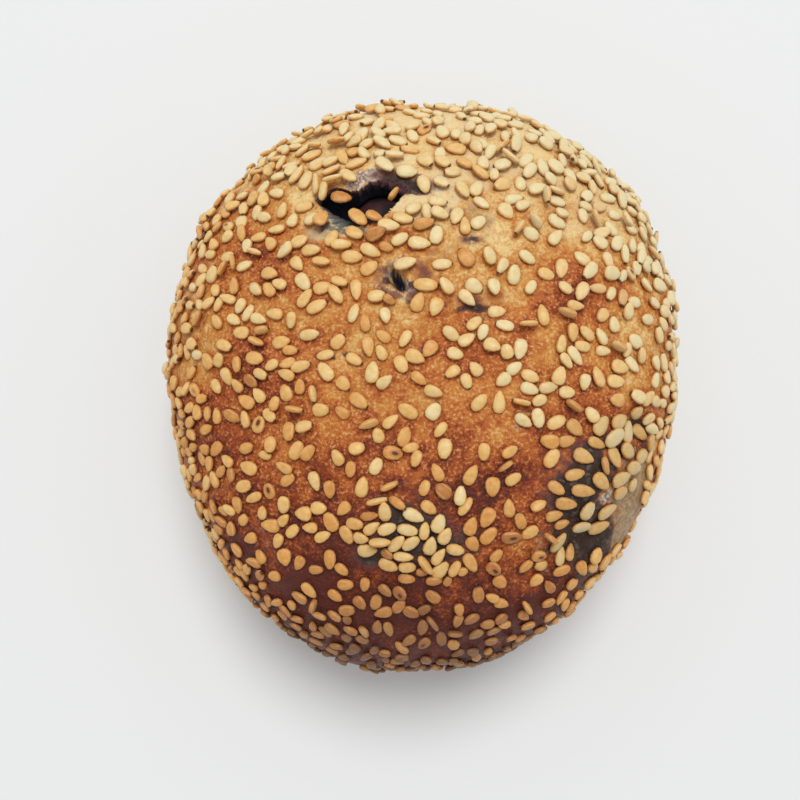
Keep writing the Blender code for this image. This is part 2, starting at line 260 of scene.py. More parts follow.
# Browning of the crust and of the seeds on it: in the middle, and its change a mm along x and y
# Both slopes darken towards the front: partly real browning, partly painted shade on the side away
# from the light.
CRUST_BROWNING_AND_SHADE = (0.43, -0.0016, -0.0084)
SEED_BROWNING_AND_SHADE = (0.27, -0.0016, -0.0070)
# Places where both are browner or paler than their neighbours: x, y, half sizes, change
BROWNER_PLACES = (
    (-25.6, 12.4, 8.0, 8.0, 0.07),
    (23.7, 12.4, 8.0, 7.0, 0.32),
    (-30.0, -21.0, 7.0, 9.0, 0.14),
    (7.3, -18.4, 9.0, 6.0, 0.20),
    (-33.0, 31.0, 8.0, 8.0, 0.20),
    # These two darken the front edge: partly browning, partly painted shade where it faces away
    # from the light.
    (4.0, -37.0, 26.0, 8.0, 0.19),
    (0.0, -47.0, 18.0, 4.0, 0.15),
    (22.0, -10.0, 8.0, 5.0, 0.10),
    (13.3, -5.5, 5.5, 6.5, -0.20),
    (16.5, -28.5, 4.0, 4.0, -0.14),
    (7.0, -25.0, 6.0, 5.0, 0.12),
    (1.0, -16.5, 4.0, 3.0, -0.10),
    (-1.0, -5.0, 5.0, 4.0, -0.08),
)
# Places where only the seeds are browner
BROWNER_SEEDS = (
    (8.0, -25.0, 9.0, 7.0, 0.20),
    (-27.0, -8.0, 9.0, 8.0, 0.12),
)
# Parts of the rim painted paler, as painted light: haze at the back right and light thrown up by
# the table at the front left; direction, spread, change
RIM_PAINTED_LIGHT = ((60.0, 34.0, 0.20), (212.0, 20.0, 0.24))
SHADED_RIM_WAY = 280.0  # where the rim stays brown

# Marks on the crust: strength, x, y, half length, half width, turn
MARKS = {
    "film": (
        (1.1, 33.4, -22.0, 8.0, 2.6, 65.0), (0.6, 28.3, -14.2, 4.0, 3.6, 30.0),
        (0.8, 33.2, -15.5, 1.8, 4.4, -15.0), (0.8, 7.6, 24.2, 3.0, 3.2, 0.0),
        (0.8, -18.3, 22.9, 2.6, 1.4, -5.0), (1.0, 27.6, -19.6, 2.4, 1.6, 0.0),
        (0.5, 17.0, -28.5, 2.4, 4.0, -10.0), (0.5, 8.5, 8.8, 3.5, 0.8, 0.0),
        (1.0, 13.6, -7.6, 1.7, 0.7, 70.0), (1.0, 34.6, -17.5, 4.0, 1.8, 75.0),
        (0.9, 31.5, -24.0, 3.2, 2.6, 60.0), (0.9, 31.5, -29.0, 3.6, 1.5, 50.0),
    ),
    "bare": (
        (1.1, -3.4, 26.6, 3.4, 2.6, -35.0), (0.9, -16.8, 22.6, 4.0, 1.8, 15.0),
        (0.9, -11.5, 22.7, 3.0, 0.9, 0.0), (0.6, -8.0, 35.0, 9.0, 3.0, 0.0),
        (0.8, 1.6, 27.8, 3.4, 3.0, 0.0), (0.6, 10.0, 33.0, 11.0, 6.0, 0.0),
        (1.2, -8.0, 13.3, 3.0, 0.24, -13.0), (0.5, 26.0, 26.0, 8.0, 8.0, 0.0),
        # This wide mark on the back rim is partly paler dough and partly painted light.
        (0.8, 8.0, 47.0, 26.0, 7.0, 0.0),
    ),
    "crumb": (
        (1.1, -11.2, 31.4, 3.0, 1.7, 8.0), (1.0, -8.3, 32.4, 2.0, 1.1, 0.0),
        (1.0, -3.6, 13.4, 1.9, 1.0, -50.0), (0.9, -4.1, 17.6, 2.4, 0.9, 0.0),
        (0.9, -6.8, 15.8, 1.4, 0.7, -40.0), (0.9, 1.4, 30.6, 1.6, 1.8, 0.0),
        (0.9, 27.8, -19.4, 2.0, 1.2, 40.0),
    ),
    "plum": (
        # Marks at the tear's upper lip are partly plum skin and partly painted shade under the lip.
        (1.4, -2.6, 30.3, 2.6, 1.2, -12.0), (1.0, -5.4, 32.1, 3.6, 0.8, -5.0),
        (1.0, -7.4, 14.2, 2.6, 1.0, -12.0), (0.9, -3.0, 11.2, 2.4, 1.5, -30.0),
        (0.8, -1.4, 15.8, 2.6, 2.2, 20.0), (0.7, 7.0, 11.2, 5.0, 1.4, 0.0),
        (0.9, 4.3, 25.3, 1.6, 1.5, 0.0), (0.9, 6.3, 21.1, 2.2, 1.3, 0.0),
        (0.8, 20.5, -18.0, 4.5, 6.5, 20.0), (0.7, 27.0, -11.5, 5.0, 4.0, 0.0),
        (0.7, 26.5, -21.0, 4.0, 5.0, 0.0), (1.3, -4.6, 31.3, 4.0, 1.6, -10.0),
        (0.9, -6.6, 12.3, 3.0, 0.8, -20.0), (0.8, -7.2, 16.6, 1.6, 1.0, 30.0),
        (0.8, -3.0, -25.5, 9.5, 6.0, 0.0), (0.4, 2.0, 19.0, 3.0, 1.6, -20.0),
        # The wide mark along the front edge is partly a plum tint and partly painted shade.
        (0.6, 27.0, -33.0, 7.0, 4.5, 40.0), (0.55, -2.0, -44.0, 30.0, 8.0, 0.0),
        (0.45, -27.0, -28.0, 7.0, 8.0, 0.0), (-1.3, 27.8, -19.4, 2.0, 1.5, 0.0),
    ),
    "stain": (
        (1.0, 22.3, -19.5, 5.6, 3.8, 75.0), (0.9, 23.8, -26.8, 4.5, 2.2, 25.0),
        (0.75, 24.5, -14.0, 3.5, 2.0, 60.0), (-1.3, 27.8, -19.4, 1.8, 1.4, 0.0),
        (0.7, 27.0, -16.5, 4.5, 1.2, 50.0), (0.6, 29.5, -11.5, 3.0, 1.0, -30.0),
        (1.05, -1.4, -26.0, 6.4, 3.4, -14.0), (0.8, -9.6, -28.6, 2.6, 1.5, 0.0),
        (0.6, -5.5, -21.8, 2.5, 1.6, 0.0), (0.9, 33.8, -8.3, 2.8, 1.8, 10.0),
        (0.9, 7.2, 9.9, 3.4, 0.6, 0.0), (0.6, -1.9, 4.3, 1.2, 1.0, 0.0),
        (0.6, 4.3, 25.5, 0.9, 0.9, 0.0), (0.6, 6.3, 21.1, 1.1, 0.8, 0.0),
        (0.5, -15.0, 2.5, 5.0, 0.9, -6.0), (0.5, -3.2, 10.8, 1.1, 0.8, 0.0),
        # Stains at the tear's upper lip are partly bean stain and partly painted shade under the
        # lip.
        (0.5, 27.0, -32.0, 5.0, 3.0, 30.0), (1.3, -4.4, 30.8, 2.8, 1.1, -18.0),
        (0.7, -6.9, 14.3, 1.2, 0.7, -30.0), (0.8, -2.9, 13.4, 1.0, 0.7, -30.0),
        (0.5, -0.9, 3.3, 1.3, 0.5, 50.0), (0.8, 26.5, -20.5, 4.0, 2.2, 75.0),
        (0.7, 26.5, -28.5, 3.4, 2.2, 40.0), (0.6, 28.0, -24.5, 2.6, 2.0, 60.0),
        (0.5, -17.4, 23.6, 1.2, 0.8, 20.0), (1.1, -2.9, 30.4, 2.2, 1.0, -15.0),
    ),
    "seam": (
        (1.2, -9.2, 13.6, 1.6, 0.20, -8.0), (1.2, -6.6, 13.1, 1.7, 0.20, -20.0),
        (0.9, -3.8, 11.6, 1.4, 0.22, -35.0),
    ),
    "shade": (
        (1.2, -13.4, 22.7, 2.3, 0.9, -8.0), (0.9, -16.6, 23.4, 0.9, 0.8, 0.0),
        (0.9, -10.6, 22.6, 1.6, 0.6, 5.0),
    ),
}

# Table and light
TABLE_HALF = 1500.0
SKY_COLOUR = (0.99, 0.985, 0.96)
WINDOW_COLOUR = (1.0, 0.995, 0.98)
WINDOW_PLACE = (320.0, 2140.0, 4640.0)
WINDOW_WIDTH = 2400.0

# Camera, where the photograph was taken from
FRAME_PIXELS = 800
FOCAL_PIXELS = 900.0
CAMERA_ELEVATION = 84.0
CAMERA_PLACE = (-4.86, -19.08, 185.89)
SENSOR_WIDTH = 36.0


def unit(vectors):
    """Vectors over their own length."""
    return vectors / np.linalg.norm(vectors, axis=-1, keepdims=True)


def smooth_step(low, high, values):
    """0 below low, 1 above high, and 3t² - 2t³ between them."""
    t = np.clip((values - low) / (high - low), 0.0, 1.0)
    return t * t * (3.0 - 2.0 * t)


def smooth_fall(low, high, values):
    """1 below low, 0 above high, and 1 less the smooth step between them."""
    return 1.0 - smooth_step(low, high, values)


def turned(x, y, degrees):
    """Plan coordinates along and across a direction that many degrees from +X."""
    angle = math.radians(degrees)
    along = x * math.cos(angle) + y * math.sin(angle)
    across = y * math.cos(angle) - x * math.sin(angle)
    return along, across


def spot(points, x, y, length, width, turn=0.0):
    """1 at a plan place, falling as exp(-(along/length)² - (across/width)²) around it."""
    along, across = turned(points[..., 0] - x, points[..., 1] - y, turn)
    return np.exp(-((along / length) ** 2) - (across / width) ** 2)


def changed_by(values, points, places, weight=1.0):
    """The values times 1 + change times weight times spot, for each place in turn."""
    for *place, change in places:
        values = values * (1.0 + change * weight * spot(points, *place))
    return values


def browner(points, places=BROWNER_PLACES):
    """How much browner the places are than their neighbours: the sum of change times spot."""
    return sum(change * spot(points, *place) for *place, change in places)


def outside(points, ovals, margin=0.0):
    """True where a point of the top lies clear of the ovals in plan, and for all below the top.

    Inside an oval, (along / length)² + (across / width)² is 1 or less, both grown by the margin.
    """
    clear = np.ones(len(points), bool)
    for x, y, length, width, turn in ovals:
        along, across = turned(points[:, 0] - x, points[:, 1] - y, turn)
        clear &= (along / (length + margin)) ** 2 + (across / (width + margin)) ** 2 > 1.0
    return clear | (points[:, 2] < BELLY_HEIGHT)


def waves(points, length, start):
    """Even noise of about -1 to 1: the sum of sine waves over the root of their number.

    Their ways, phases and lengths, of about the given one, are drawn from random numbers that
    begin at start.
    """
    draw = np.random.default_rng(start)
    ways = unit(draw.normal(size=(WAVES, 3)))
    ways *= 2.0 * math.pi / (length * draw.uniform(0.6, 1.7, (WAVES, 1)))
    phases = draw.uniform(0.0, 2.0 * math.pi, WAVES)
    return np.sin(points @ ways.T + phases).sum(axis=-1) / math.sqrt(WAVES)


def towards(angles, degrees, spread):
    """1 in a direction, falling as a bell to 0 in the directions away from it."""
    away = angles - math.radians(degrees)
    return np.exp((np.cos(away) - 1.0) / math.radians(spread) ** 2)


def plan_radius(angle):
    """Half width of the bun at its belly: a round's, and a bell's rise towards each swell."""
    radius = np.full_like(angle, ROUND_RADIUS)
    for direction, rise, spread in SWELLS:
        radius += rise * towards(angle, direction, spread)
    return radius


def smooth_crust(ways):
    """Where each way out of the centre meets the bun without its relief.

    Over the plan's radius and the dome's height, level^n + |rise|^n = 1 with n the fullness.
    Below the belly the height is the tuck's, and n is its own.
    """
    level = np.hypot(ways[:, 0], ways[:, 1])
    rise = ways[:, 2]
    fullness = np.where(rise >= 0, DOME_FULLNESS, TUCK_FULLNESS)
    reach = (level**fullness + np.abs(rise) ** fullness) ** (-1.0 / fullness)
    radius = plan_radius(np.arctan2(ways[:, 1], ways[:, 0])) * reach
    height = np.where(rise >= 0, HEIGHT - BELLY_HEIGHT, TUCK_DEPTH)
    points = np.empty_like(ways)
    points[:, 0] = ways[:, 0] * radius
    points[:, 1] = ways[:, 1] * radius
    points[:, 2] = BELLY_HEIGHT + rise * reach * height
    return points


def relief(points):
    """How far the crust stands out at each point.

    Lumps rise as sin(x + 1.3 sin 0.7y) sin(0.9y + 0.8z + 1), a length of a lump to the turn,
    and above the belly each mound adds its height times its spot.
    """
    x, y, z = (points * (2 * math.pi / LUMP_LENGTH)).T
    lumps = np.sin(x + 1.3 * np.sin(0.7 * y)) * np.sin(0.9 * y + 0.8 * z + 1.0)
    rise = LUMP_RISE * lumps
    above = np.clip((points[:, 2] - BELLY_HEIGHT) / BELLY_HEIGHT, 0.0, 1.0)
    for x, y, length, width, turn, height in MOUNDS:
        rise += above * height * spot(points, x, y, length, width, turn)
    return rise


def crust(ways, fine=False):
    """The smooth crust's points moved out by the relief, and flat at the foot."""
    points = smooth_crust(ways)
    points += ways * relief(points)[:, None]
    if fine:
        points += ways * fine_relief(points)[:, None]
    points[:, 2] = np.maximum(points[:, 2], 0.0)
    return points


def fine_relief(points):
    """Wrinkles and grain as noise of two lengths, and the small mounds above the belly."""
    rise = WRINKLE_RISE * waves(points, WRINKLE_LENGTH, 3)
    rise += GRAIN_RISE * waves(points, GRAIN_LENGTH, 4)
    for x, y, length, width, turn, height in FINE_MOUNDS:
        rise += (points[:, 2] > BELLY_HEIGHT) * height * spot(points, x, y, length, width, turn)
    return rise


def crust_cross(ways):
    """The cross product of two short steps sideways along the crust, over the step squared.

    It points outward, and its length is the crust's area for each steradian of ways.
    """
    step = 0.01
    side = unit(np.cross(ways, np.where(np.abs(ways[:, 2:]) > 0.9, (1.0, 0, 0), (0, 0, 1.0))))
    up = np.cross(ways, side)
    here = crust(ways)
    across = crust(unit(ways + step * side)) - here
    along = crust(unit(ways + step * up)) - here
    return np.cross(across, along) / step**2


def crust_normals(ways):
    """Outward normals of the crust: the cross products over their length."""
    return unit(crust_cross(ways))


def ways_through(x, y):
    """Ways out of the centre that meet the dome over plan places, found by halving."""
    x, y = np.atleast_1d(x).astype(float), np.atleast_1d(y).astype(float)
    low, high = np.zeros_like(x), np.full_like(x, HEIGHT)
    for _ in range(30):
        height = (low + high) / 2.0
        ways = unit(np.stack([x, y, height], axis=1))
        short = np.hypot(*crust(ways)[:, :2].T) < np.hypot(x, y)
        high = np.where(short, height, high)
        low = np.where(short, low, height)
    return ways


def closed_surface_faces(rows, columns):
    """Quads between rows of points round an axis, and a fan of triangles to the pole at each end.

    Point 0 is the first pole, then the rows in order, then the last pole.
    """
    here = np.arange(columns)
    after = (here + 1) % columns
    start = 1 + columns * np.arange(rows - 1)[:, None]
    quads = np.stack(
        [start + here, start + after, start + columns + after, start + columns + here], axis=-1
    ).reshape(-1, 4)
    first = np.stack([np.zeros(columns, int), 1 + after, 1 + here], axis=1)
    end = 1 + columns * (rows - 1)
    last = np.stack([np.full(columns, end + columns), end + here, end + after], axis=1)
    return first, quads, last


def make_mesh(name, points, face_groups, values):
    """A smooth mesh in metres from points in millimetres, with one number a point per value."""
    mesh = bpy.data.meshes.new(name)
    mesh.vertices.add(len(points))
    mesh.vertices.foreach_set("co", (points * MM).astype(np.float32).ravel())
    corners = np.concatenate([faces.ravel() for faces in face_groups])
    sizes = np.concatenate([np.full(len(faces), faces.shape[1]) for faces in face_groups])
    mesh.loops.add(len(corners))
    mesh.loops.foreach_set("vertex_index", corners.astype(np.int32))
    mesh.polygons.add(len(sizes))
    mesh.polygons.foreach_set("loop_start", (np.cumsum(sizes) - sizes).astype(np.int32))
    mesh.update(calc_edges=True)
    mesh.validate()
    mesh.shade_smooth()
    for title, numbers in values.items():
        layer = mesh.attributes.new(title, "FLOAT", "POINT")
        layer.data.foreach_set("value", numbers.astype(np.float32))
    return mesh


def add_piece(mesh, material, node):
    """Stand a finished mesh in for a solid of the frame."""
    piece = bpy.data.objects.new(mesh.name, mesh)
    bpy.context.scene.collection.objects.link(piece)
    mesh.materials.append(material)
    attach(piece, "root")
    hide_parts(node)


class Value:
    """A number in a shader: arithmetic on it adds Math nodes."""

    def __init__(self, recipe, socket):
        self.recipe = recipe
        self.socket = socket

    def math(self, operation, *others):
        """A Math node on this number and up to two others."""
        return self.recipe.add("ShaderNodeMath", {"operation": operation}, (self, *others))

    def __add__(self, other):
        return self.math("ADD", other)

    def __mul__(self, other):
        return self.math("MULTIPLY", other)

    def __sub__(self, other):
        return self.math("SUBTRACT", other)

    __radd__ = __add__
    __rmul__ = __mul__

    def __rsub__(self, other):
        return self.recipe.add("ShaderNodeMath", {"operation": "SUBTRACT"}, (other, self))

    def step(self, low, high):
        """0 below low and 1 above high, smooth between; falls instead if low is the larger."""
        limits = (low, high, 0.0, 1.0) if low < high else (high, low, 1.0, 0.0)
        settings = {"interpolation_type": "SMOOTHSTEP"}
        return self.recipe.add("ShaderNodeMapRange", settings, (self, *limits))


class Recipe:
    """The shader of one material."""

    def __init__(self, name):
        self.material = bpy.data.materials.new(name)
        self.material.use_nodes = True
        self.tree = self.material.node_tree
        self.shader = self.tree.nodes["Principled BSDF"]
        place = self.tree.nodes.new("ShaderNodeTexCoord")
        self.place = Value(self, place.outputs["Object"])

    def add(self, kind, settings=None, inputs=(), output=0):
        """A node of a kind: its settings first, then the values or links of its sockets."""
        node = self.tree.nodes.new(kind)
        for name, setting in (settings or {}).items():
            if name == "stops":
                self.set_stops(node.color_ramp, setting)
            else:
                setattr(node, name, setting)
        pairs = inputs.items() if isinstance(inputs, dict) else enumerate(inputs)
        for key, value in pairs:
            self.feed(node.inputs[key], value)
        return Value(self, node.outputs[output])

    def feed(self, socket, value):
        """Link a socket to a value of the shader, or set it to a number or a colour."""
        if isinstance(value, Value):
            self.tree.links.new(value.socket, socket)
        else:
            socket.default_value = value

    def set_stops(self, ramp, stops):
        """Give a ramp its colours, each at its position."""
        while len(ramp.elements) < len(stops):
            ramp.elements.new(0.5)
        for element, (position, colour) in zip(ramp.elements, stops):
            element.position = position
            element.color = (*colour, 1.0)

    def attribute(self, name):
        """A number that the mesh carries."""
        return self.add("ShaderNodeAttribute", {"attribute_name": name}, output="Fac")

    def noise(self, size, detail=2.0, roughness=0.5):
        """Soft noise from 0 to 1 whose blotches are about size millimetres apart."""
        scale = 1.0 / (size * MM)
        inputs = {"Vector": self.place, "Scale": scale, "Detail": detail, "Roughness": roughness}
        return self.add("ShaderNodeTexNoise", inputs=inputs, output="Fac")

    def mix(self, share, one, other):
        """Two colours mixed by a share, from all of one to all of the other."""
        one, other = (c if isinstance(c, Value) else (*c, 1.0) for c in (one, other))
        return self.add("ShaderNodeMix", {"data_type": "RGBA"}, {0: share, 6: one, 7: other}, 2)

    def ramp(self, value, *stops):
        """Colours at given values, blended evenly between."""
        return self.add("ShaderNodeValToRGB", {"stops": stops}, (value,))

    def bump(self, height, distance):
        """A bump whose full height is distance millimetres."""
        inputs = {"Strength": 1.0, "Distance": distance * MM, "Height": height}
        return self.add("ShaderNodeBump", inputs=inputs)

    def finish(self, **inputs):
        """The material, with these inputs of its shader set or linked."""
        for name, value in inputs.items():
            self.feed(self.shader.inputs[name.replace("_", " ")], value)
        return self.material


def tint(name, description, default):
    """A colour that a user may change, in linear light."""
    return FloatVectorProperty(
        name=name, description=description, subtype="COLOR", default=default, min=0.0, max=1.0
    )


class CrustSettings(bpy.types.PropertyGroup):
    columns: IntProperty(
        name="Columns", description="Points in each row round the tear", default=440, min=40
    )
    near_row: FloatProperty(
        name="Rows near the tear", description="Spacing of rows near the tear, in mm",
        default=0.35, min=0.1,
    )
    far_row: FloatProperty(
        name="Rows far away", description="Spacing of rows over the rest of the bun, in mm",
        default=0.86, min=0.2,
    )
    pale: tint("Pale crust", "Colour where the crust is least browned", (0.81, 0.60, 0.275))
    golden: tint("Golden crust", "Colour of light browning", (0.60, 0.275, 0.066))
    amber: tint("Amber crust", "Colour of the middle browning", (0.47, 0.132, 0.030))
    brown: tint("Brown crust", "Colour of the deeper browning", (0.255, 0.050, 0.015))
    dark: tint("Dark crust", "Colour of the darkest crust", (0.100, 0.024, 0.016))
    # The specks are partly painted glints on the grain.
    speck: tint("Specks", "Colour of the pale specks", (0.78, 0.46, 0.22))
    dough: tint(
        "Bare dough", "Colour of dough that opened late and stayed pale", (0.82, 0.66, 0.38)
    )
    film: tint("Film", "Colour of thin skin, greyed by the bean below", (0.47, 0.345, 0.195))
    crumb: tint("Crumb", "Colour of torn crumb, greyed by the bean", (0.70, 0.61, 0.55))
    plum: tint("Plum skin", "Colour of skin tinged by a bean below", (0.155, 0.055, 0.048))
    stain: tint("Bean stain", "Colour of skin that a bean stained through", (0.027, 0.021, 0.018))


class SeedSettings(bpy.types.PropertyGroup):
    tries: IntProperty(
        name="Tries", description="Places tried for the smaller seeds", default=30000, min=100
    )
    thickly: FloatProperty(
        name="Seeds a square mm", description="Seeds tried on each square millimetre",
        default=0.162, min=0.0,
    )
    squeeze: FloatProperty(
        name="Squeeze", description="Least distance of two seeds, as a share of just touching",
        default=0.68, min=0.1,
    )
    length: FloatProperty(name="Length", description="Length of a seed, in mm", default=3.2)
    width: FloatProperty(name="Width", description="Width of a seed, in mm", default=2.22)
    thickness: FloatProperty(
        name="Thickness", description="Thickness of a seed, in mm", default=0.95
    )
    cream: tint("Cream", "Colour of the palest seeds", (0.745, 0.620, 0.350))
    golden: tint("Golden", "Colour of barely toasted seeds", (0.73, 0.470, 0.170))
    tan: tint("Tan", "Colour of lightly toasted seeds", (0.64, 0.300, 0.076))
    toast: tint("Toast", "Colour of well toasted seeds", (0.42, 0.160, 0.045))


class BeanSettings(bpy.types.PropertyGroup):
    skin: tint("Skin", "Colour of the bean's skin", (0.022, 0.011, 0.014))
    flesh: tint("Flesh", "Colour where the skin is rubbed off", (0.064, 0.021, 0.020))


class StageSettings(bpy.types.PropertyGroup):
    table: tint("Table", "Colour of the table", (0.742, 0.757, 0.772))
    sky: FloatProperty(
        name="Even light", description="Strength of the light from all round",
        default=0.60, min=0.0,
    )
    key: FloatProperty(
        name="Window light", description="Power of the large soft light", subtype="POWER",
        default=160.0, min=0.0,
    )


def tear_frame():
    """The middle of the tear, the crust's normal there, and the axis of the crust's rows.

    The axis runs from the centre to that middle, and two ways square to it come with it.
    """
    way = ways_through(*TEAR_MIDDLE)
    middle = crust(way)[0]
    normal = crust_normals(way)[0]
    axis = way[0]
    east = unit(np.cross((0.0, 1.0, 0.0), axis))
    north = np.cross(axis, east)
    return middle, normal, axis, east, north


def tear_reach(angles, axis, east, north):
    """How far from the axis, as an angle, the tear's edge lies in each direction round it.

    The edge's reach is read evenly between its points, softened over nine steps, and put on
    the crust. Noise adds lobes all round it, and short teeth where the dough pulled apart last.
    """
    edge = np.array(TEAR_EDGE)
    around = np.unwrap(np.arctan2(edge[:, 1], edge[:, 0]))
    reach = np.hypot(*edge.T)
    fine = np.linspace(around[0], around[0] + 2 * math.pi, EDGE_STEPS + 1)[:-1]
    closed = np.append(around, around[0] + 2 * math.pi)
    radius = np.interp(fine, closed, np.append(reach, reach[0]))
    soft = np.hanning(9) / np.hanning(9).sum()
    radius = np.convolve(np.concatenate([radius[-4:], radius, radius[:4]]), soft, "valid")
    plan = np.stack([radius * np.cos(fine), radius * np.sin(fine), 0.0 * fine], axis=1)
    teeth = 0.25 + 0.75 * towards(fine, FRAY_WAY, 55.0)
    radius += LOBES * waves(plan, LOBE_LENGTH, 11) + FRAY * teeth * waves(plan, FRAY_LENGTH, 12)
    x, y = TEAR_MIDDLE
    ways = ways_through(x + radius * np.cos(fine), y + radius * np.sin(fine))
    off_axis = np.arccos(np.clip(ways @ axis, -1.0, 1.0))
    round_axis = np.arctan2(ways @ north, ways @ east) % (2 * math.pi)
    order = np.argsort(round_axis)
    return np.interp(angles, round_axis[order], off_axis[order], period=2 * math.pi)


def row_steps(settings):
    """Distances of the outer rows from the tear's edge, as shares of the way round the bun.

    Steps grow from a third of the near spacing to that spacing, stay there until the fine rows
    end, and then grow to the far spacing.
    """
    place, places = 0.0, [0.0]
    step = settings.near_row / 3.0
    while place + step < WAY_ROUND:
        place += step
        places.append(place)
        most = settings.near_row if place < FINE_ROWS_END else settings.far_row
        step = min(step * ROW_GROWTH, most)
    return np.array(places[:-1]) / WAY_ROUND


def pocket_rows(edge_points, middle, normal, angles):
    """Rows from under the tear's edge to near the pocket's bottom, and the depth of each.

    Each row is the edge drawn towards the middle by the profile's reach, sunk along the normal
    by its depth, and drifted sideways as it sinks. In two directions the wall slopes inwards
    first, so that its crumb shows from above.
    """
    profile = np.array(POCKET_PROFILE)
    steps = np.linspace(0.0, len(profile) - 1.0, POCKET_ROWS + 1)[1:-1]
    reach = np.interp(steps, np.arange(len(profile)), profile[:, 0])[:, None]
    depth = np.interp(steps, np.arange(len(profile)), profile[:, 1])
    ledge = smooth_step(0.0, 1.6, depth) * smooth_fall(2.6, 4.4, depth)
    share = sum(most * towards(angles, *way) for *way, most in LEDGES)
    reach = reach * (1.0 - ledge[:, None] * share)
    drift = np.array(POCKET_DRIFT) * (depth / depth.max())[:, None]
    arms = edge_points - middle
    rows = middle + reach[..., None] * arms - depth[:, None, None] * normal
    return rows + drift[:, None, :], depth


def out_of_bean(points):
    """Move points that lie inside the bean's bed out onto it.

    The bed is the bean's own bent ellipsoid, grown by the gap. A point is unbent and divided by
    the half sizes, and a length under 1 is stretched to 1.
    """
    halves = np.array(BEAN_HALF_SIZES) + BEAN_GAP
    offset = points - np.array(BEAN_PLACE)
    along, across = turned(offset[..., 0], offset[..., 1], BEAN_TURN)
    across = across - BEAN_BEND * (0.5 - np.clip(along / halves[0], -1, 1) ** 2)
    local = np.stack([along, across, offset[..., 2]], axis=-1) / halves
    size = np.linalg.norm(local, axis=-1, keepdims=True)
    grown = local / np.maximum(size, 1e-6) * np.maximum(size, 1.0) * halves
    grown[..., 1] += BEAN_BEND * (0.5 - np.clip(grown[..., 0] / halves[0], -1, 1) ** 2)
    x, y = turned(grown[..., 0], grown[..., 1], -BEAN_TURN)
    return np.stack([x, y, grown[..., 2]], axis=-1) + np.array(BEAN_PLACE)


def crust_points(settings):
    """The crust as rows round the tear: out of the pocket, over the edge, round to the foot.

    The angles run clockwise, so that the faces between the rows look outward. Noise roughens
    the pocket's wall. Returns the points, the number of rows, and each point's depth in the
    pocket, the paleness of the torn edge in its direction, and the streak of crumb it lies on.
    """
    middle, normal, axis, east, north = tear_frame()
    angles = np.linspace(2.0 * math.pi, 0.0, settings.columns, endpoint=False)
    spread = tear_reach(angles, axis, east, north)
    shares = row_steps(settings)
    off_axis = spread + (math.pi - spread) * shares[:, None]
    sideways = np.cos(angles)[:, None] * east + np.sin(angles)[:, None] * north
    ways = np.cos(off_axis)[..., None] * axis + np.sin(off_axis)[..., None] * sideways
    outer = crust(ways.reshape(-1, 3), fine=True).reshape(*ways.shape)
    inner, depth = pocket_rows(outer[0], middle, normal, angles)
    streaks = waves(outer[0] - middle, 0.5, 21)
    rough = 0.14 * waves(inner, 0.9, 22) + 0.12 * streaks
    wall = np.minimum(depth, 1.0)[:, None] * rough
    inward = unit(middle - outer[0])
    inner = out_of_bean(inner + wall[..., None] * inward)[::-1]
    bottom = inner[:1].mean(axis=1)
    foot = crust(-axis[None])
    rows = np.concatenate([inner, outer])
    points = np.concatenate([bottom, rows.reshape(-1, 3), foot])
    deep = np.concatenate([depth[::-1], np.zeros(len(outer))])[:, None]
    pale = np.clip(towards(angles, FRAY_WAY, 40.0) + towards(angles, CRUMB_WAY, 30.0), 0.0, 1.0)
    shape = rows.shape[:2]
    torn = {}
    for name, numbers in (("depth", deep), ("pale", pale), ("streak", streaks)):
        inside = np.broadcast_to(numbers, shape).ravel()
        torn[name] = np.concatenate([inside[:1], inside, inside[-1:]])
    return points, len(rows), torn


def glaze_and_shade_round_seeds(points, seeds):
    """1 under a seed, falling to 0 at 1.7 times its outline: glaze pooled there, and painted shade
    darkens the crust round the seed.

    Each seed looks only at the points within 3 mm of it along x.
    """
    place, normal = crust(seeds["way"], fine=True), crust_normals(seeds["way"])
    across = np.cross(normal, seeds["along"])
    order = np.argsort(points[:, 0])
    sorted_x = points[order, 0]
    glaze = np.zeros(len(points))
    for centre, up, ahead, side, length, width in zip(
        place, normal, seeds["along"], across, seeds["length"], seeds["width"]
    ):
        first, last = np.searchsorted(sorted_x, [centre[0] - 3.0, centre[0] + 3.0])
        near = order[first:last]
        local = (points[near] - centre) @ np.stack([ahead, side, up], axis=1)
        size = np.linalg.norm(local / (length / 2, width / 2, 1.2), axis=1)
        glaze[near] = np.maximum(glaze[near], 1.0 - smooth_step(1.0, 1.7, size))
    return glaze


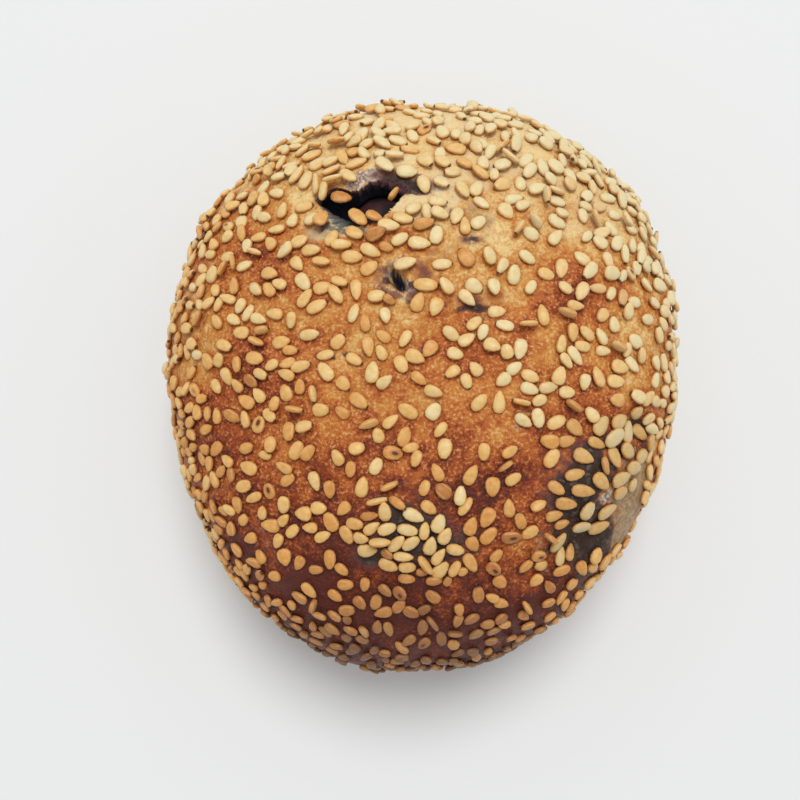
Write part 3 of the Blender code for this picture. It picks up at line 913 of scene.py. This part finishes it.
def browning(points):
    """How browned the crust is.

    A slope from the pale back to the brown front with smooth steps at both ends, partly real
    browning, partly painted shade at the front and painted light at the back, noise in three
    sizes, and the listed places on the top. Bells by direction paint light on the rim, paler
    except at the front and the left. Low sides are drawn towards 0.30, and the foot towards 0.74.
    """
    x, y, z = points.T
    middle, by_x, by_y = CRUST_BROWNING_AND_SHADE
    toast = middle + by_y * y + by_x * x + 0.22 * smooth_fall(-42.0, -24.0, y)
    toast += 0.07 * waves(points, 24.0, 31) + 0.05 * waves(points, 9.0, 32)
    toast += 0.08 * waves(points * (0.4, 1.0, 1.0), 11.0, 36)
    toast -= 0.22 * smooth_step(22.0, 40.0, y)
    toast -= 0.16 * smooth_step(16.0, 40.0, x) * smooth_step(2.0, 20.0, y)
    toast += browner(points) * on_top(points)
    side = smooth_fall(6.0, 15.0, z) * smooth_step(1.0, 5.0, z)
    toast += side * (0.30 - toast) * 0.75
    # Painted light pales the rim, except at the front, which faces away from the light, and at the
    # left.
    turn = np.arctan2(y, x)
    rim = smooth_fall(19.0, 33.0, z)
    left = 1.0 - 0.85 * towards(turn, 170.0, 34.0)
    toast -= 0.24 * rim * (1.0 - towards(turn, SHADED_RIM_WAY, 42.0)) * left
    for direction, spread, change in RIM_PAINTED_LIGHT:
        toast -= change * rim * towards(turn, direction, spread)
    return toast + smooth_fall(0.0, 2.5, z) * (0.74 - toast) * 0.75


def on_top(points):
    """1 on the top and 0 on the lower sides and the foot."""
    return smooth_step(BELLY_HEIGHT - 6.0, BELLY_HEIGHT + 10.0, points[:, 2])


def crust_values(points, torn, seeds):
    """Numbers from 0 to 1 that colour the crust.

    They say how browned it is, with painted light and shade, how deep in the tear or the pinhole,
    whether in either, how pale the torn edge, how much glaze and painted shade lie round the
    seeds, and for each kind of mark how strongly it shows: the sum of strength times spot, made
    uneven by noise.
    """
    depth = torn["depth"]
    pinhole = spot(points, *PINHOLE) * (points[:, 2] > BELLY_HEIGHT)
    pinhole = pinhole * (1.0 + 0.45 * waves(points, 0.8, 37))
    deep = smooth_step(0.0, 2.6, depth + 0.5 * torn["streak"] * (depth > 0.1))
    values = {
        "toast": browning(points),
        "deep": deep + smooth_step(0.35, 0.6, pinhole),
        "cavity": smooth_step(0.0, 0.25, depth) + smooth_step(0.3, 0.5, pinhole),
        "pale_edge": torn["pale"],
        "glaze": glaze_and_shade_round_seeds(points, seeds) * (depth <= 0.0),
    }
    for number, (name, marks) in enumerate(MARKS.items()):
        total = sum(strength * spot(points, *place) for strength, *place in marks)
        uneven = 0.92 + 0.32 * waves(points, 2.4, 33 + number)
        values[name] = total * uneven * on_top(points)
    return {name: np.clip(numbers, 0.0, 1.0) for name, numbers in values.items()}


def inside_colour(recipe, fine):
    """The torn walls: crumb that darkens with depth as painted shade, and a plum lip where the skin
    is plum.
    """
    deep = recipe.attribute("deep") + (fine - 0.5) * 0.3
    # Both ramps darken with depth: painted shade down the pocket and in the pinhole.
    pale = recipe.ramp(
        deep, (0.0, (0.56, 0.50, 0.38)), (0.06, (0.20, 0.19, 0.155)),
        (0.30, (0.086, 0.092, 0.086)), (0.62, (0.060, 0.070, 0.082)), (0.88, (0.040, 0.046, 0.066)),
    )
    # Away from the pale lower walls, under the upper lip, the walls are darker plum: partly painted
    # shade.
    dark = recipe.ramp(
        deep, (0.0, (0.120, 0.055, 0.056)), (0.35, (0.070, 0.034, 0.042)),
        (0.8, (0.038, 0.042, 0.060)),
    )
    colour = recipe.mix(recipe.attribute("pale_edge"), dark, pale)
    lip = recipe.attribute("plum") * deep.step(0.95, 0.35)
    return recipe.mix(lip * 0.9, colour, (0.14, 0.062, 0.070))


def make_crust_material(settings):
    """Browned skin: mottled by the browning, grained, with pale specks that are partly painted
    glints, stains, bare dough, and glaze and painted shade round the seeds.
    """
    recipe = Recipe("browned crust")
    blotch = recipe.noise(6.0, 3.0)
    mottle = recipe.noise(1.5, 4.0, 0.6)
    fine = recipe.noise(0.5, 3.0, 0.6)
    glaze = recipe.attribute("glaze")

    def ragged(name, by_mottle, by_fine, low, high):
        """A mark whose outline is frayed by the noise, from 0 at low to 1 at high."""
        mark = recipe.attribute(name)
        if by_mottle:
            mark = mark + (mottle - 0.5) * by_mottle
        if by_fine:
            mark = mark + (fine - 0.5) * by_fine
        return mark.step(low, high)

    browned = recipe.attribute("toast") + (blotch - 0.5) * 0.8 + (mottle - 0.5) * 0.45
    # Glaze and painted shade round the seeds deepen the browning.
    colour = recipe.ramp(
        browned + (0.5 - fine) * 0.8 + glaze * 0.16,
        (0.0, settings.pale), (0.30, settings.golden), (0.55, settings.amber),
        (0.78, settings.brown), (1.0, settings.dark),
    )
    # Pale specks: partly real flecks, partly painted glints on the grain.
    specks_and_glints = fine.step(0.55, 0.66) * browned.step(1.0, 0.5)
    colour = recipe.mix(specks_and_glints * 0.50, colour, settings.speck)
    colour = recipe.mix(ragged("bare", 0.9, 0.0, 0.2, 0.8) * 0.75, colour, settings.dough)
    film = recipe.ramp(
        mottle + (fine - 0.5) * 0.6, (0.35, (0.27, 0.175, 0.095)), (0.62, settings.film)
    )
    colour = recipe.mix(ragged("film", 1.3, 0.6, 0.2, 0.8) * 0.88, colour, film)
    crumb = recipe.ramp(
        fine, (0.38, (0.15, 0.10, 0.095)), (0.50, (0.33, 0.26, 0.235)), (0.62, settings.crumb)
    )
    colour = recipe.mix(ragged("crumb", 1.0, 0.9, 0.25, 0.7) * 0.85, colour, crumb)
    colour = recipe.mix(ragged("plum", 1.1, 1.0, 0.2, 0.9) * 0.85, colour, settings.plum)
    stain = recipe.attribute("stain") + (mottle - 0.5) * 1.1 + glaze * 0.1
    stained = recipe.ramp(
        stain, (0.25, settings.plum), (0.60, (0.056, 0.036, 0.030)), (0.9, settings.stain)
    )
    flecks = mottle.step(0.52, 0.66) * stain.step(0.40, 0.85)
    stained = recipe.mix(flecks * 0.45, stained, (0.22, 0.175, 0.14))
    colour = recipe.mix(stain.step(0.18, 0.50) * 0.95, colour, stained)
    shade = ragged("shade", 0.0, 1.3, 0.30, 0.95)
    colour = recipe.mix(shade * 0.85, colour, (0.115, 0.110, 0.100))
    colour = recipe.mix(ragged("seam", 0.0, 0.0, 0.35, 0.8) * 0.7, colour, settings.speck)
    cavity = recipe.attribute("cavity")
    colour = recipe.mix(cavity, colour, inside_colour(recipe, fine))
    return recipe.finish(
        Base_Color=colour,
        Roughness=0.34 + cavity * 0.5 + fine * 0.16,
        Normal=recipe.bump(fine * 0.8 + mottle, 0.42),
        Specular_IOR_Level=0.14,
    )


def bean_points():
    """An ellipsoid bent like a kidney, with shallow wrinkles along it.

    Rows run round the long axis from tip to tip: x = a cos u, y = b sin u cos v,
    z = c sin u sin v, less 0.1 mm and plus noise along the ball's own way out, and y moves by
    the bend times 0.5 - (x / a)².
    """
    u = np.linspace(0.0, math.pi, BEAN_ROWS + 2)[::-1, None]
    v = np.linspace(0.0, 2.0 * math.pi, BEAN_COLUMNS, endpoint=False)
    a, b, c = BEAN_HALF_SIZES
    local = np.stack(
        [a * np.cos(u) + 0 * v, b * np.sin(u) * np.cos(v), c * np.sin(u) * np.sin(v)], axis=-1
    )
    ball = unit(np.stack([np.cos(u) + 0 * v, np.sin(u) * np.cos(v), np.sin(u) * np.sin(v)], -1))
    dent = 0.07 * waves(ball * (2.0, 5.0, 5.0), 2.2, 41) + 0.03 * waves(ball * 5.0, 0.9, 42)
    local -= ball * (0.1 - dent)[..., None]
    local[..., 1] += BEAN_BEND * (0.5 - (local[..., 0] / a) ** 2)
    x, y = turned(local[..., 0], local[..., 1], -BEAN_TURN)
    points = np.stack([x, y, local[..., 2]], axis=-1) + np.array(BEAN_PLACE)
    return np.concatenate([points[0, :1], points[1:-1].reshape(-1, 3), points[-1, :1]])


def make_bean_material(settings):
    """Cooked bean skin: dark and moist, rubbed through to the flesh in patches."""
    recipe = Recipe("black bean")
    rubbed = recipe.noise(3.0, 3.0).step(0.42, 0.62)
    colour = recipe.mix(rubbed, settings.skin, settings.flesh)
    mottle = recipe.noise(0.6)
    colour = recipe.mix(mottle * 0.4, colour, (0.02, 0.012, 0.02))
    return recipe.finish(
        Base_Color=colour,
        Roughness=0.5 + mottle * 0.25,
        Normal=recipe.bump(mottle, 0.10),
        Specular_IOR_Level=0.14,
    )


def seed_share(points):
    """How thickly the solid's seeds are strewn at each point, from 0 to 1."""
    share = np.clip((points[:, 2] - LOWEST_SEED) / LOWEST_SEED, 0.0, 1.0)
    return changed_by(share, points, ANCHOR_CHANGES)


def draw_ways(start, tries, spread):
    """Ways drawn evenly over the sphere, and a chance, an angle and a size for each."""
    draw = np.random.default_rng(start)
    ways = unit(draw.normal(size=(tries, 3)))
    chance = draw.random(tries)
    angle = draw.random(tries) * 2.0 * math.pi
    size = 1.0 + spread * draw.uniform(-1.0, 1.0, tries)
    return ways, chance, angle, size


def reach_towards(ways, along, length, width):
    """Half extent of seeds' ovals in given ways.

    With half sizes a and b and the angle from the long axis, ab / sqrt((b cos)² + (a sin)²).
    """
    cos_squared = np.clip(np.sum(ways * along, axis=-1) ** 2, 0.0, 1.0)
    root = np.sqrt(width**2 * cos_squared + length**2 * (1.0 - cos_squared))
    return length * width / 2.0 / root


def thin_out(points, spacing):
    """Indexes of points, in order, that keep their distance from those taken before."""
    chosen = []
    for index, point in enumerate(points):
        apart = np.linalg.norm(points[chosen] - point, axis=1)
        if not chosen or apart.min() > spacing:
            chosen.append(index)
    return chosen


def settle(seeds, laid, squeeze):
    """The seeds, in order, that overlap none laid before by more than squeeze allows."""
    shown = ("along", "length", "width", "spare")
    laid, more = (
        np.column_stack([crust(group["way"]), *(group[name] for name in shown)])
        for group in (laid, seeds)
    )
    count = len(laid)
    kept = np.empty((count + len(more), laid.shape[1]))
    kept[:count] = laid
    chosen = []
    for index, oval in enumerate(more):
        apart = kept[:count, :3] - oval[:3]
        distance = np.linalg.norm(apart, axis=1)
        near = np.flatnonzero(distance < WIDEST_REACH)
        ways = apart[near] / distance[near, None]
        room = reach_towards(ways, kept[near, 3:6], kept[near, 6], kept[near, 7])
        room += reach_towards(ways, oval[3:6], oval[6], oval[7])
        if np.all(distance[near] > squeeze * oval[8] * room):
            kept[count] = oval
            count += 1
            chosen.append(index)
    return {name: numbers[chosen] for name, numbers in seeds.items()}


def laid_flat(way, angle):
    """Ways along the crust: cos angle times sideways and sin angle times uphill."""
    normal = crust_normals(way)
    uphill = unit(np.array([0.0, 0.0, 1.0]) - normal * normal[:, 2:])
    side = np.cross(uphill, normal)
    return np.cos(angle)[:, None] * side + np.sin(angle)[:, None] * uphill


def seed_density(points, settings):
    """Seeds wanted on each square millimetre.

    The settings' number times smooth steps: fewer low down, more on the shoulder away from the
    front, more on the front half, and then the listed changes above the belly.
    """
    x, y, z = points.T
    low = smooth_step(LOWEST_SEED - 3.0, LOWEST_SEED + 8.0, z)
    wanted = settings.thickly * low * (0.6 + 0.4 * smooth_step(10.0, 22.0, z))
    shoulder = 0.5 * smooth_step(12.0, 20.0, z) * smooth_fall(28.0, 38.0, z)
    wanted = wanted * (1.0 + shoulder * (1.0 - towards(np.arctan2(y, x), 270.0, 40.0)))
    wanted = wanted * (1.0 + 0.50 * smooth_fall(5.0, 30.0, y))
    above = smooth_step(BELLY_HEIGHT, BELLY_HEIGHT + 8.0, z)
    return changed_by(wanted, points, SMALL_CHANGES, above)


def placed_seeds():
    """The seeds placed one by one, in the form that make_seeds gives."""
    rows = [(*row, *USUAL_ROLL_AND_LIFT)[:8] for row in PLACED_SEEDS]
    x, y, turn, length, width, toast, roll, lift = np.array(rows, float).T
    way = ways_through(x, y)
    normal = crust_normals(way)
    plan = np.stack([np.cos(np.radians(turn)), np.sin(np.radians(turn)), 0.0 * turn], axis=1)
    along = unit(plan - normal * np.sum(plan * normal, axis=1)[:, None])
    # Seeds near the front are browner and take painted shade, as that side faces away from the
    # light.
    near = smooth_fall(-28.0, -18.0, y) * (x < 10.0)
    return {
        "way": way,
        "along": along,
        "roll": np.radians(roll),
        "lift": lift,
        "length": 1.14 * length,
        "width": 1.04 * width,
        "toast": toast + 0.14 * near,
        "dull": 0.45 * smooth_step(10.0, 25.0, x) + 0.2 * near,
        "bleach": np.zeros(len(x)),
        "spare": np.ones(len(x)),
    }


def seed_browning(points, rim, turn):
    """How toasted the seeds are before chance adds to it.

    A slope from the pale back and right to the brown front, partly real toasting, partly painted
    light at the back right and painted shade at the front, the listed places, less by bells of
    direction round the rim as painted light, except at the front, and more at the front as
    painted shade.
    """
    x, y = points[:, :2].T
    middle, by_x, by_y = SEED_BROWNING_AND_SHADE
    toast = middle + by_y * y + by_x * x - 0.0022 * np.maximum(x, 0.0)
    paler = 0.18 - 0.18 * towards(turn, SHADED_RIM_WAY, 42.0) + 0.24 * towards(turn, 212.0, 24.0)
    paler += 0.16 * towards(turn, 60.0, 34.0) + 0.10 * towards(turn, 178.0, 30.0)
    toast += 0.6 * browner(points) + browner(points, BROWNER_SEEDS) - rim * paler
    return toast + 0.10 * smooth_fall(-40.0, -26.0, y)


def make_seeds(way, angle, size, settings):
    """Seeds lying flat along the crust, of uneven length and width.

    They get smaller low down and towards the front and the left. Those at the front get painted
    shade, more so at its edge, those at the right back and on the rim away from the front get
    painted light, and those of the front half keep more room.
    """
    draw = np.random.default_rng(SMALL_START + len(way))
    count = len(way)
    points = crust(way)
    x, y, z = points.T
    turn = np.arctan2(y, x)
    rim = smooth_fall(20.0, 33.0, z)
    on_edge = (draw.random(count) < ON_EDGE) & (z > 38.0)
    roll = np.where(on_edge, draw.uniform(0.9, 1.5, count), 0.17 * draw.normal(size=count))
    chance = 0.12 * draw.normal(size=count) + 0.34 * (draw.random(count) < WELL_TOASTED)
    size = size * (0.85 + 0.15 * smooth_step(24.0, 45.0, z) + 0.06 * smooth_step(15.0, 35.0, y))
    size = size * (0.93 + 0.07 * smooth_step(-34.0, -14.0, x))
    size = size * (0.88 + 0.12 * smooth_step(-44.0, -26.0, y))
    # Painted shade on the seeds at the front, which faces away from the light, most at its rim and
    # edge.
    dull = 1.0 + rim + 1.1 * smooth_fall(-46.0, -39.0, y)
    dull *= smooth_fall(-40.0, -25.0, y + np.maximum(0.6 * x, -0.3 * x))
    # Painted light on the seeds at the right back and on the rim away from the front.
    far = smooth_step(15.0, 50.0, 0.9 * x + 0.45 * y)
    return {
        "way": way,
        "along": laid_flat(way, angle),
        "roll": roll * draw.choice([-1.0, 1.0], count),
        "lift": draw.uniform(-0.05, 0.12, count) - 0.12 * (z < 28.0),
        "length": settings.length * size * draw.uniform(0.88, 1.10, count),
        "width": settings.width * size * draw.uniform(0.80, 1.08, count),
        "toast": np.clip(seed_browning(points, rim, turn) + chance, 0.0, 1.0),
        "dull": np.minimum(dull * draw.uniform(0.35, 1.45, count), 2.0),
        "bleach": np.maximum(far, 0.6 * rim * (1.0 - towards(turn, 265.0, 35.0))),
        "spare": 1.0 + 0.28 * smooth_fall(5.0, 30.0, y),
    }


def seeds_of_the_solid(settings):
    """The seeds that the solid bun has."""
    way, chance, angle, size = draw_ways(ANCHOR_START, ANCHOR_TRIES, ANCHOR_SIZE_SPREAD)
    point = crust(way)
    area = np.sum((point - CENTRE) ** 2, axis=1) / np.sum(way * crust_normals(way), axis=1)
    wanted = chance < seed_share(point) * area / area.max()
    wanted = np.flatnonzero(wanted & outside(point, TEAR_OVALS, CLEAR_OF_TEAR))
    chosen = wanted[thin_out(point[wanted], ANCHOR_SPACING)]
    chosen = chosen[outside(point[chosen], PLACED_OVALS)]
    return make_seeds(way[chosen], angle[chosen], size[chosen], settings)


def seeds_between(settings):
    """More seeds, drawn to the wanted number a square millimetre."""
    way, chance, angle, size = draw_ways(SMALL_START, settings.tries, SMALL_SIZE_SPREAD)
    point = crust(way)
    area_each = np.linalg.norm(crust_cross(way), axis=1) * 4.0 * math.pi / settings.tries
    wanted = chance < seed_density(point, settings) * area_each
    chosen = np.flatnonzero(wanted & outside(point, PLACED_OVALS))
    return make_seeds(way[chosen], angle[chosen], size[chosen], settings)


def strew_seeds(settings):
    """Every seed: those placed one by one, then the solid's, then others where there is room."""
    seeds = placed_seeds()
    for more in (seeds_of_the_solid(settings), seeds_between(settings)):
        settled = settle(more, seeds, settings.squeeze)
        seeds = {name: np.concatenate([seeds[name], settled[name]]) for name in seeds}
    count = len(seeds["way"])
    draw = np.random.default_rng(SMALL_START)
    seeds["nod"] = 0.08 * draw.normal(size=count)
    seeds["taper"] = draw.uniform(-0.06, 0.24, count)
    seeds["burn"] = draw.random(count)
    seeds["pit"] = draw.random(count) * (np.arange(count) >= len(PLACED_SEEDS))
    return seeds


def rest_on_neighbours(seeds, place, normal):
    """Lift each seed that lies on earlier ones, and lean it away from them.

    Two seeds press by 1 less their distance over the room that both ovals need. A seed rises by
    2.2 mm times its greatest press, and its normal leans by 1.5 times each.
    """
    apart = place[:, None] - place[None]
    distance = np.linalg.norm(apart, axis=2)
    later, earlier = np.nonzero(np.tri(len(place), k=-1, dtype=bool) & (distance < WIDEST_REACH))
    gap = distance[later, earlier]
    ways = apart[later, earlier] / gap[:, None]
    length, width, along = seeds["length"], seeds["width"], seeds["along"]
    room = reach_towards(ways, along[later], length[later], width[later])
    room += reach_towards(ways, along[earlier], length[earlier], width[earlier])
    press = np.clip(1.0 - gap / room, 0.0, 1.0)
    lift, lean = np.zeros(len(place)), np.zeros_like(place)
    np.maximum.at(lift, later, 2.2 * press)
    np.add.at(lean, later, 1.5 * press[:, None] * ways)
    return place + normal * lift[:, None], unit(normal + lean)


def seed_form(rings, around):
    """A flat teardrop: points of -1 to 1 along, and its half width and thickness there.

    Half width follows sqrt(1 + s) (1 - s)^0.66, blunt behind and pointed ahead, thickness its
    root, and each ring is a superellipse, |y|^n + |z|^n = 1, so that its faces are flattened.
    """
    s = -np.cos(np.linspace(0.0, math.pi, rings + 2)[1:-1])
    wide = np.sqrt(1.0 + s) * (1.0 - s) ** 0.66
    wide /= wide.max()
    v = np.linspace(0.0, 2.0 * math.pi, around, endpoint=False)
    y = np.sign(np.cos(v)) * np.abs(np.cos(v)) ** (2 / SEED_SQUARENESS)
    z = np.sign(np.sin(v)) * np.abs(np.sin(v)) ** (2 / SEED_SQUARENESS)
    ring = np.stack(
        [s[:, None] + 0 * v, wide[:, None] * y, np.sqrt(wide)[:, None] * z], axis=-1
    ).reshape(-1, 3)
    return np.concatenate([[[-1.0, 0.0, 0.0]], ring, [[1.0, 0.0, 0.0]]])


def seed_points(seeds, settings):
    """All seeds' points: the form scaled to each, rolled, nodded and laid on the crust.

    Its width is times 1 - taper s, and a rolled seed rises by 0.36 of its width times sin roll.
    """
    form = seed_form(SEED_RINGS, SEED_AROUND)
    place = crust(seeds["way"], fine=True)
    normal = crust_normals(seeds["way"])
    place, normal = rest_on_neighbours(seeds, place, normal)
    along = seeds["along"]
    along = unit(along - normal * np.sum(along * normal, axis=1)[:, None])
    across = np.cross(normal, along)
    roll, nod = seeds["roll"][:, None], seeds["nod"][:, None]
    up = np.cos(roll) * normal + np.sin(roll) * across
    across = np.cos(roll) * across - np.sin(roll) * normal
    along = np.cos(nod) * along + np.sin(nod) * up
    up = np.cross(along, across)
    rise = seeds["lift"] + 0.30 * settings.thickness
    rise = rise + 0.36 * seeds["width"] * np.abs(np.sin(seeds["roll"]))
    centre = place + normal * rise[:, None]
    points = centre[:, None] + form[:, 0, None] * (along * seeds["length"][:, None] / 2)[:, None]
    wide = form[:, 1] * (1.0 - seeds["taper"][:, None] * form[:, 0])
    points += wide[..., None] * (across * seeds["width"][:, None] / 2)[:, None]
    points += form[:, 2, None] * (up * settings.thickness / 2)[:, None]
    return points, form


def repeat_faces(face_groups, count, stride):
    """The faces of one form, repeated for each copy of its points."""
    shift = stride * np.arange(count)[:, None, None]
    return [(faces[None] + shift).reshape(-1, faces.shape[1]) for faces in face_groups]


def make_seed_material(settings):
    """Toasted sesame: cream to brown, deeper at the edge, dark at some tips, some with a pit, with
    painted shade and painted light on some.
    """
    recipe = Recipe("toasted sesame")
    along = recipe.attribute("along")
    across = recipe.attribute("across")
    inner = across.math("ABSOLUTE")
    bleach = recipe.attribute("bleach")
    pitted = recipe.attribute("pit").step(0.974, 0.982)
    grain = recipe.noise(0.8, 3.0) - 0.5
    tone = recipe.attribute("toast") + grain * 0.62
    # The underside is browner: partly glaze, partly painted shade where the seed sits on the crust.
    tone = tone + recipe.attribute("low") * 0.48 + pitted * 0.20
    colour = recipe.ramp(
        tone, (0.0, settings.cream), (0.30, settings.golden), (0.62, settings.tan),
        (1.0, settings.toast),
    )
    # Painted light: a pale cream wash over the seeds that the attribute marks, which also softens
    # their edge colour.
    colour = recipe.mix(bleach * 0.42, colour, (0.72, 0.67, 0.46))
    edge = (inner + along * along * 0.35 + (recipe.noise(0.9) - 0.5) * 0.6).step(0.55, 1.05)
    edge_colour = recipe.ramp(tone, (0.1, (0.70, 0.44, 0.145)), (0.6, settings.tan))
    colour = recipe.mix(edge * (0.68 - bleach * 0.30), colour, edge_colour)
    rim = inner.step(0.50, 0.64) * inner.step(0.92, 0.78)
    colour = recipe.mix(rim * 0.14, colour, (0.88, 0.70, 0.42))
    tip = along.step(0.76, 0.90) * recipe.attribute("burn").step(0.45, 0.65)
    colour = recipe.mix(tip * 0.92, colour, (0.050, 0.018, 0.009))
    ahead = along - 0.15
    hollow = ahead * ahead * 5.5 + across * across * 9.0 + grain
    colour = recipe.mix(pitted * hollow.step(2.4, 0.7) * 0.65, colour, (0.36, 0.135, 0.038))
    colour = recipe.mix(pitted * hollow.step(0.80, 0.35) * 0.94, colour, (0.085, 0.026, 0.012))
    # Painted shade: a dark brown wash over the seeds that the attribute marks.
    colour = recipe.mix(recipe.attribute("dull") * 0.42, colour, (0.155, 0.076, 0.042))
    return recipe.finish(
        Base_Color=colour,
        Roughness=0.42,
        Subsurface_Weight=0.18,
        Subsurface_Radius=(1.0, 0.5, 0.22),
        Subsurface_Scale=0.0006,
        Normal=recipe.bump(rim * 0.6 + recipe.noise(0.6), 0.06),
        Specular_IOR_Level=0.30,
    )


class BUN_OT_crust(bpy.types.Operator):
    """Make the browned crust, with the tear and the pocket under it"""

    bl_idname = "bun.crust"
    bl_label = "Crust"

    def execute(self, context):
        settings = context.scene.bun_crust
        points, rows, torn = crust_points(settings)
        faces = closed_surface_faces(rows, settings.columns)
        seeds = strew_seeds(context.scene.bun_seeds)
        mesh = make_mesh("crust", points, faces, crust_values(points, torn, seeds))
        add_piece(mesh, make_crust_material(settings), "bun")
        return {"FINISHED"}


class BUN_OT_bean(bpy.types.Operator):
    """Make the black bean that shows in the tear"""

    bl_idname = "bun.bean"
    bl_label = "Bean"

    def execute(self, context):
        faces = closed_surface_faces(BEAN_ROWS, BEAN_COLUMNS)
        mesh = make_mesh("black_bean", bean_points(), faces, {})
        add_piece(mesh, make_bean_material(context.scene.bun_bean), "bean")
        return {"FINISHED"}


class BUN_OT_seeds(bpy.types.Operator):
    """Strew the sesame seeds, as one mesh"""

    bl_idname = "bun.seeds"
    bl_label = "Sesame seeds"

    def execute(self, context):
        settings = context.scene.bun_seeds
        seeds = strew_seeds(settings)
        points, form = seed_points(seeds, settings)
        count, stride = points.shape[:2]
        each = ("toast", "dull", "bleach", "burn", "pit")
        values = {name: np.repeat(seeds[name], stride) for name in each}
        wide = np.abs(form[:, 1]).max()
        values["along"] = np.tile(form[:, 0], count)
        values["across"] = np.tile(form[:, 1] / wide, count)
        # How low on the seed each point lies; the material browns it as partly painted shade.
        values["low"] = np.tile(smooth_step(-0.85, 0.35, -form[:, 2]), count)
        faces = repeat_faces(closed_surface_faces(SEED_RINGS, SEED_AROUND), count, stride)
        mesh = make_mesh("sesame_seeds", points.reshape(-1, 3), faces, values)
        add_piece(mesh, make_seed_material(settings), "bun")
        return {"FINISHED"}


class BUN_OT_stage(bpy.types.Operator):
    """Set the table, the soft light and the camera at the photograph's angle"""

    bl_idname = "bun.stage"
    bl_label = "Stage"

    def execute(self, context):
        scene = context.scene
        settings = scene.bun_stage
        self.add_table(settings)
        self.add_sky(scene, settings)
        self.add_window(scene, settings)
        self.add_camera(scene)
        scene.view_settings.view_transform = "Standard"
        return {"FINISHED"}

    def add_table(self, settings):
        """A plain square under the bun's foot."""
        corners = np.array([(-1, -1, 0), (1, -1, 0), (1, 1, 0), (-1, 1, 0)]) * TABLE_HALF * MM
        mesh = bpy.data.meshes.new("table")
        mesh.from_pydata(corners.tolist(), [], [(0, 1, 2, 3)])
        recipe = Recipe("pale table")
        mesh.materials.append(recipe.finish(Base_Color=(*settings.table, 1.0), Roughness=0.7))
        table = bpy.data.objects.new("table", mesh)
        bpy.context.scene.collection.objects.link(table)

    def add_sky(self, scene, settings):
        """Even light from all round."""
        world = bpy.data.worlds.new("even light")
        world.use_nodes = True
        background = world.node_tree.nodes["Background"]
        background.inputs["Color"].default_value = (*SKY_COLOUR, 1.0)
        background.inputs["Strength"].default_value = settings.sky
        scene.world = world

    def add_window(self, scene, settings):
        """A large soft lamp high up behind the bun, facing it."""
        light = bpy.data.lights.new("window", "AREA")
        light.shape = "DISK"
        light.size = WINDOW_WIDTH * MM
        light.energy = settings.key
        light.color = WINDOW_COLOUR
        lamp = bpy.data.objects.new("window", light)
        lamp.location = [c * MM for c in WINDOW_PLACE]
        lamp.rotation_euler = (-lamp.location).to_track_quat("-Z", "Y").to_euler()
        scene.collection.objects.link(lamp)

    def add_camera(self, scene):
        """A camera that looks almost straight down, from the photograph's place."""
        lens = bpy.data.cameras.new("camera")
        lens.sensor_width = SENSOR_WIDTH
        lens.lens = FOCAL_PIXELS / FRAME_PIXELS * SENSOR_WIDTH
        lens.clip_start = 0.01
        camera = bpy.data.objects.new("camera", lens)
        camera.location = [c * MM for c in CAMERA_PLACE]
        camera.rotation_euler = (math.radians(90.0 - CAMERA_ELEVATION), 0.0, 0.0)
        scene.collection.objects.link(camera)
        scene.camera = camera


class BUN_PT_panel(bpy.types.Panel):
    """Lists the settings and steps of the bun"""

    bl_label = "Bun"
    bl_idname = "BUN_PT_panel"
    bl_space_type = "VIEW_3D"
    bl_region_type = "UI"
    bl_category = "Bun"

    def draw(self, context):
        for step, group in STEPS:
            box = self.layout.box()
            box.operator(step.bl_idname)
            settings = getattr(context.scene, group)
            for name in settings.bl_rna.properties.keys():
                if name not in ("rna_type", "name"):
                    box.prop(settings, name)


STEPS = (
    (BUN_OT_crust, "bun_crust"),
    (BUN_OT_bean, "bun_bean"),
    (BUN_OT_seeds, "bun_seeds"),
    (BUN_OT_stage, "bun_stage"),
)
GROUPS = {
    "bun_crust": CrustSettings,
    "bun_bean": BeanSettings,
    "bun_seeds": SeedSettings,
    "bun_stage": StageSettings,
}
CLASSES = (*GROUPS.values(), *(step for step, group in STEPS), BUN_PT_panel)


def register():
    """Make the settings, operators and panel known to Blender."""
    for each in CLASSES:
        bpy.utils.register_class(each)
    for name, group in GROUPS.items():
        setattr(bpy.types.Scene, name, PointerProperty(type=group))


def unregister():
    """Take them back out, in the other order."""
    for name in GROUPS:
        delattr(bpy.types.Scene, name)
    for each in reversed(CLASSES):
        bpy.utils.unregister_class(each)


def main():
    """Make every piece and the stage."""
    register()
    bpy.ops.bun.crust()
    bpy.ops.bun.bean()
    bpy.ops.bun.seeds()
    bpy.ops.bun.stage()


if __name__ == "__main__":
    main()
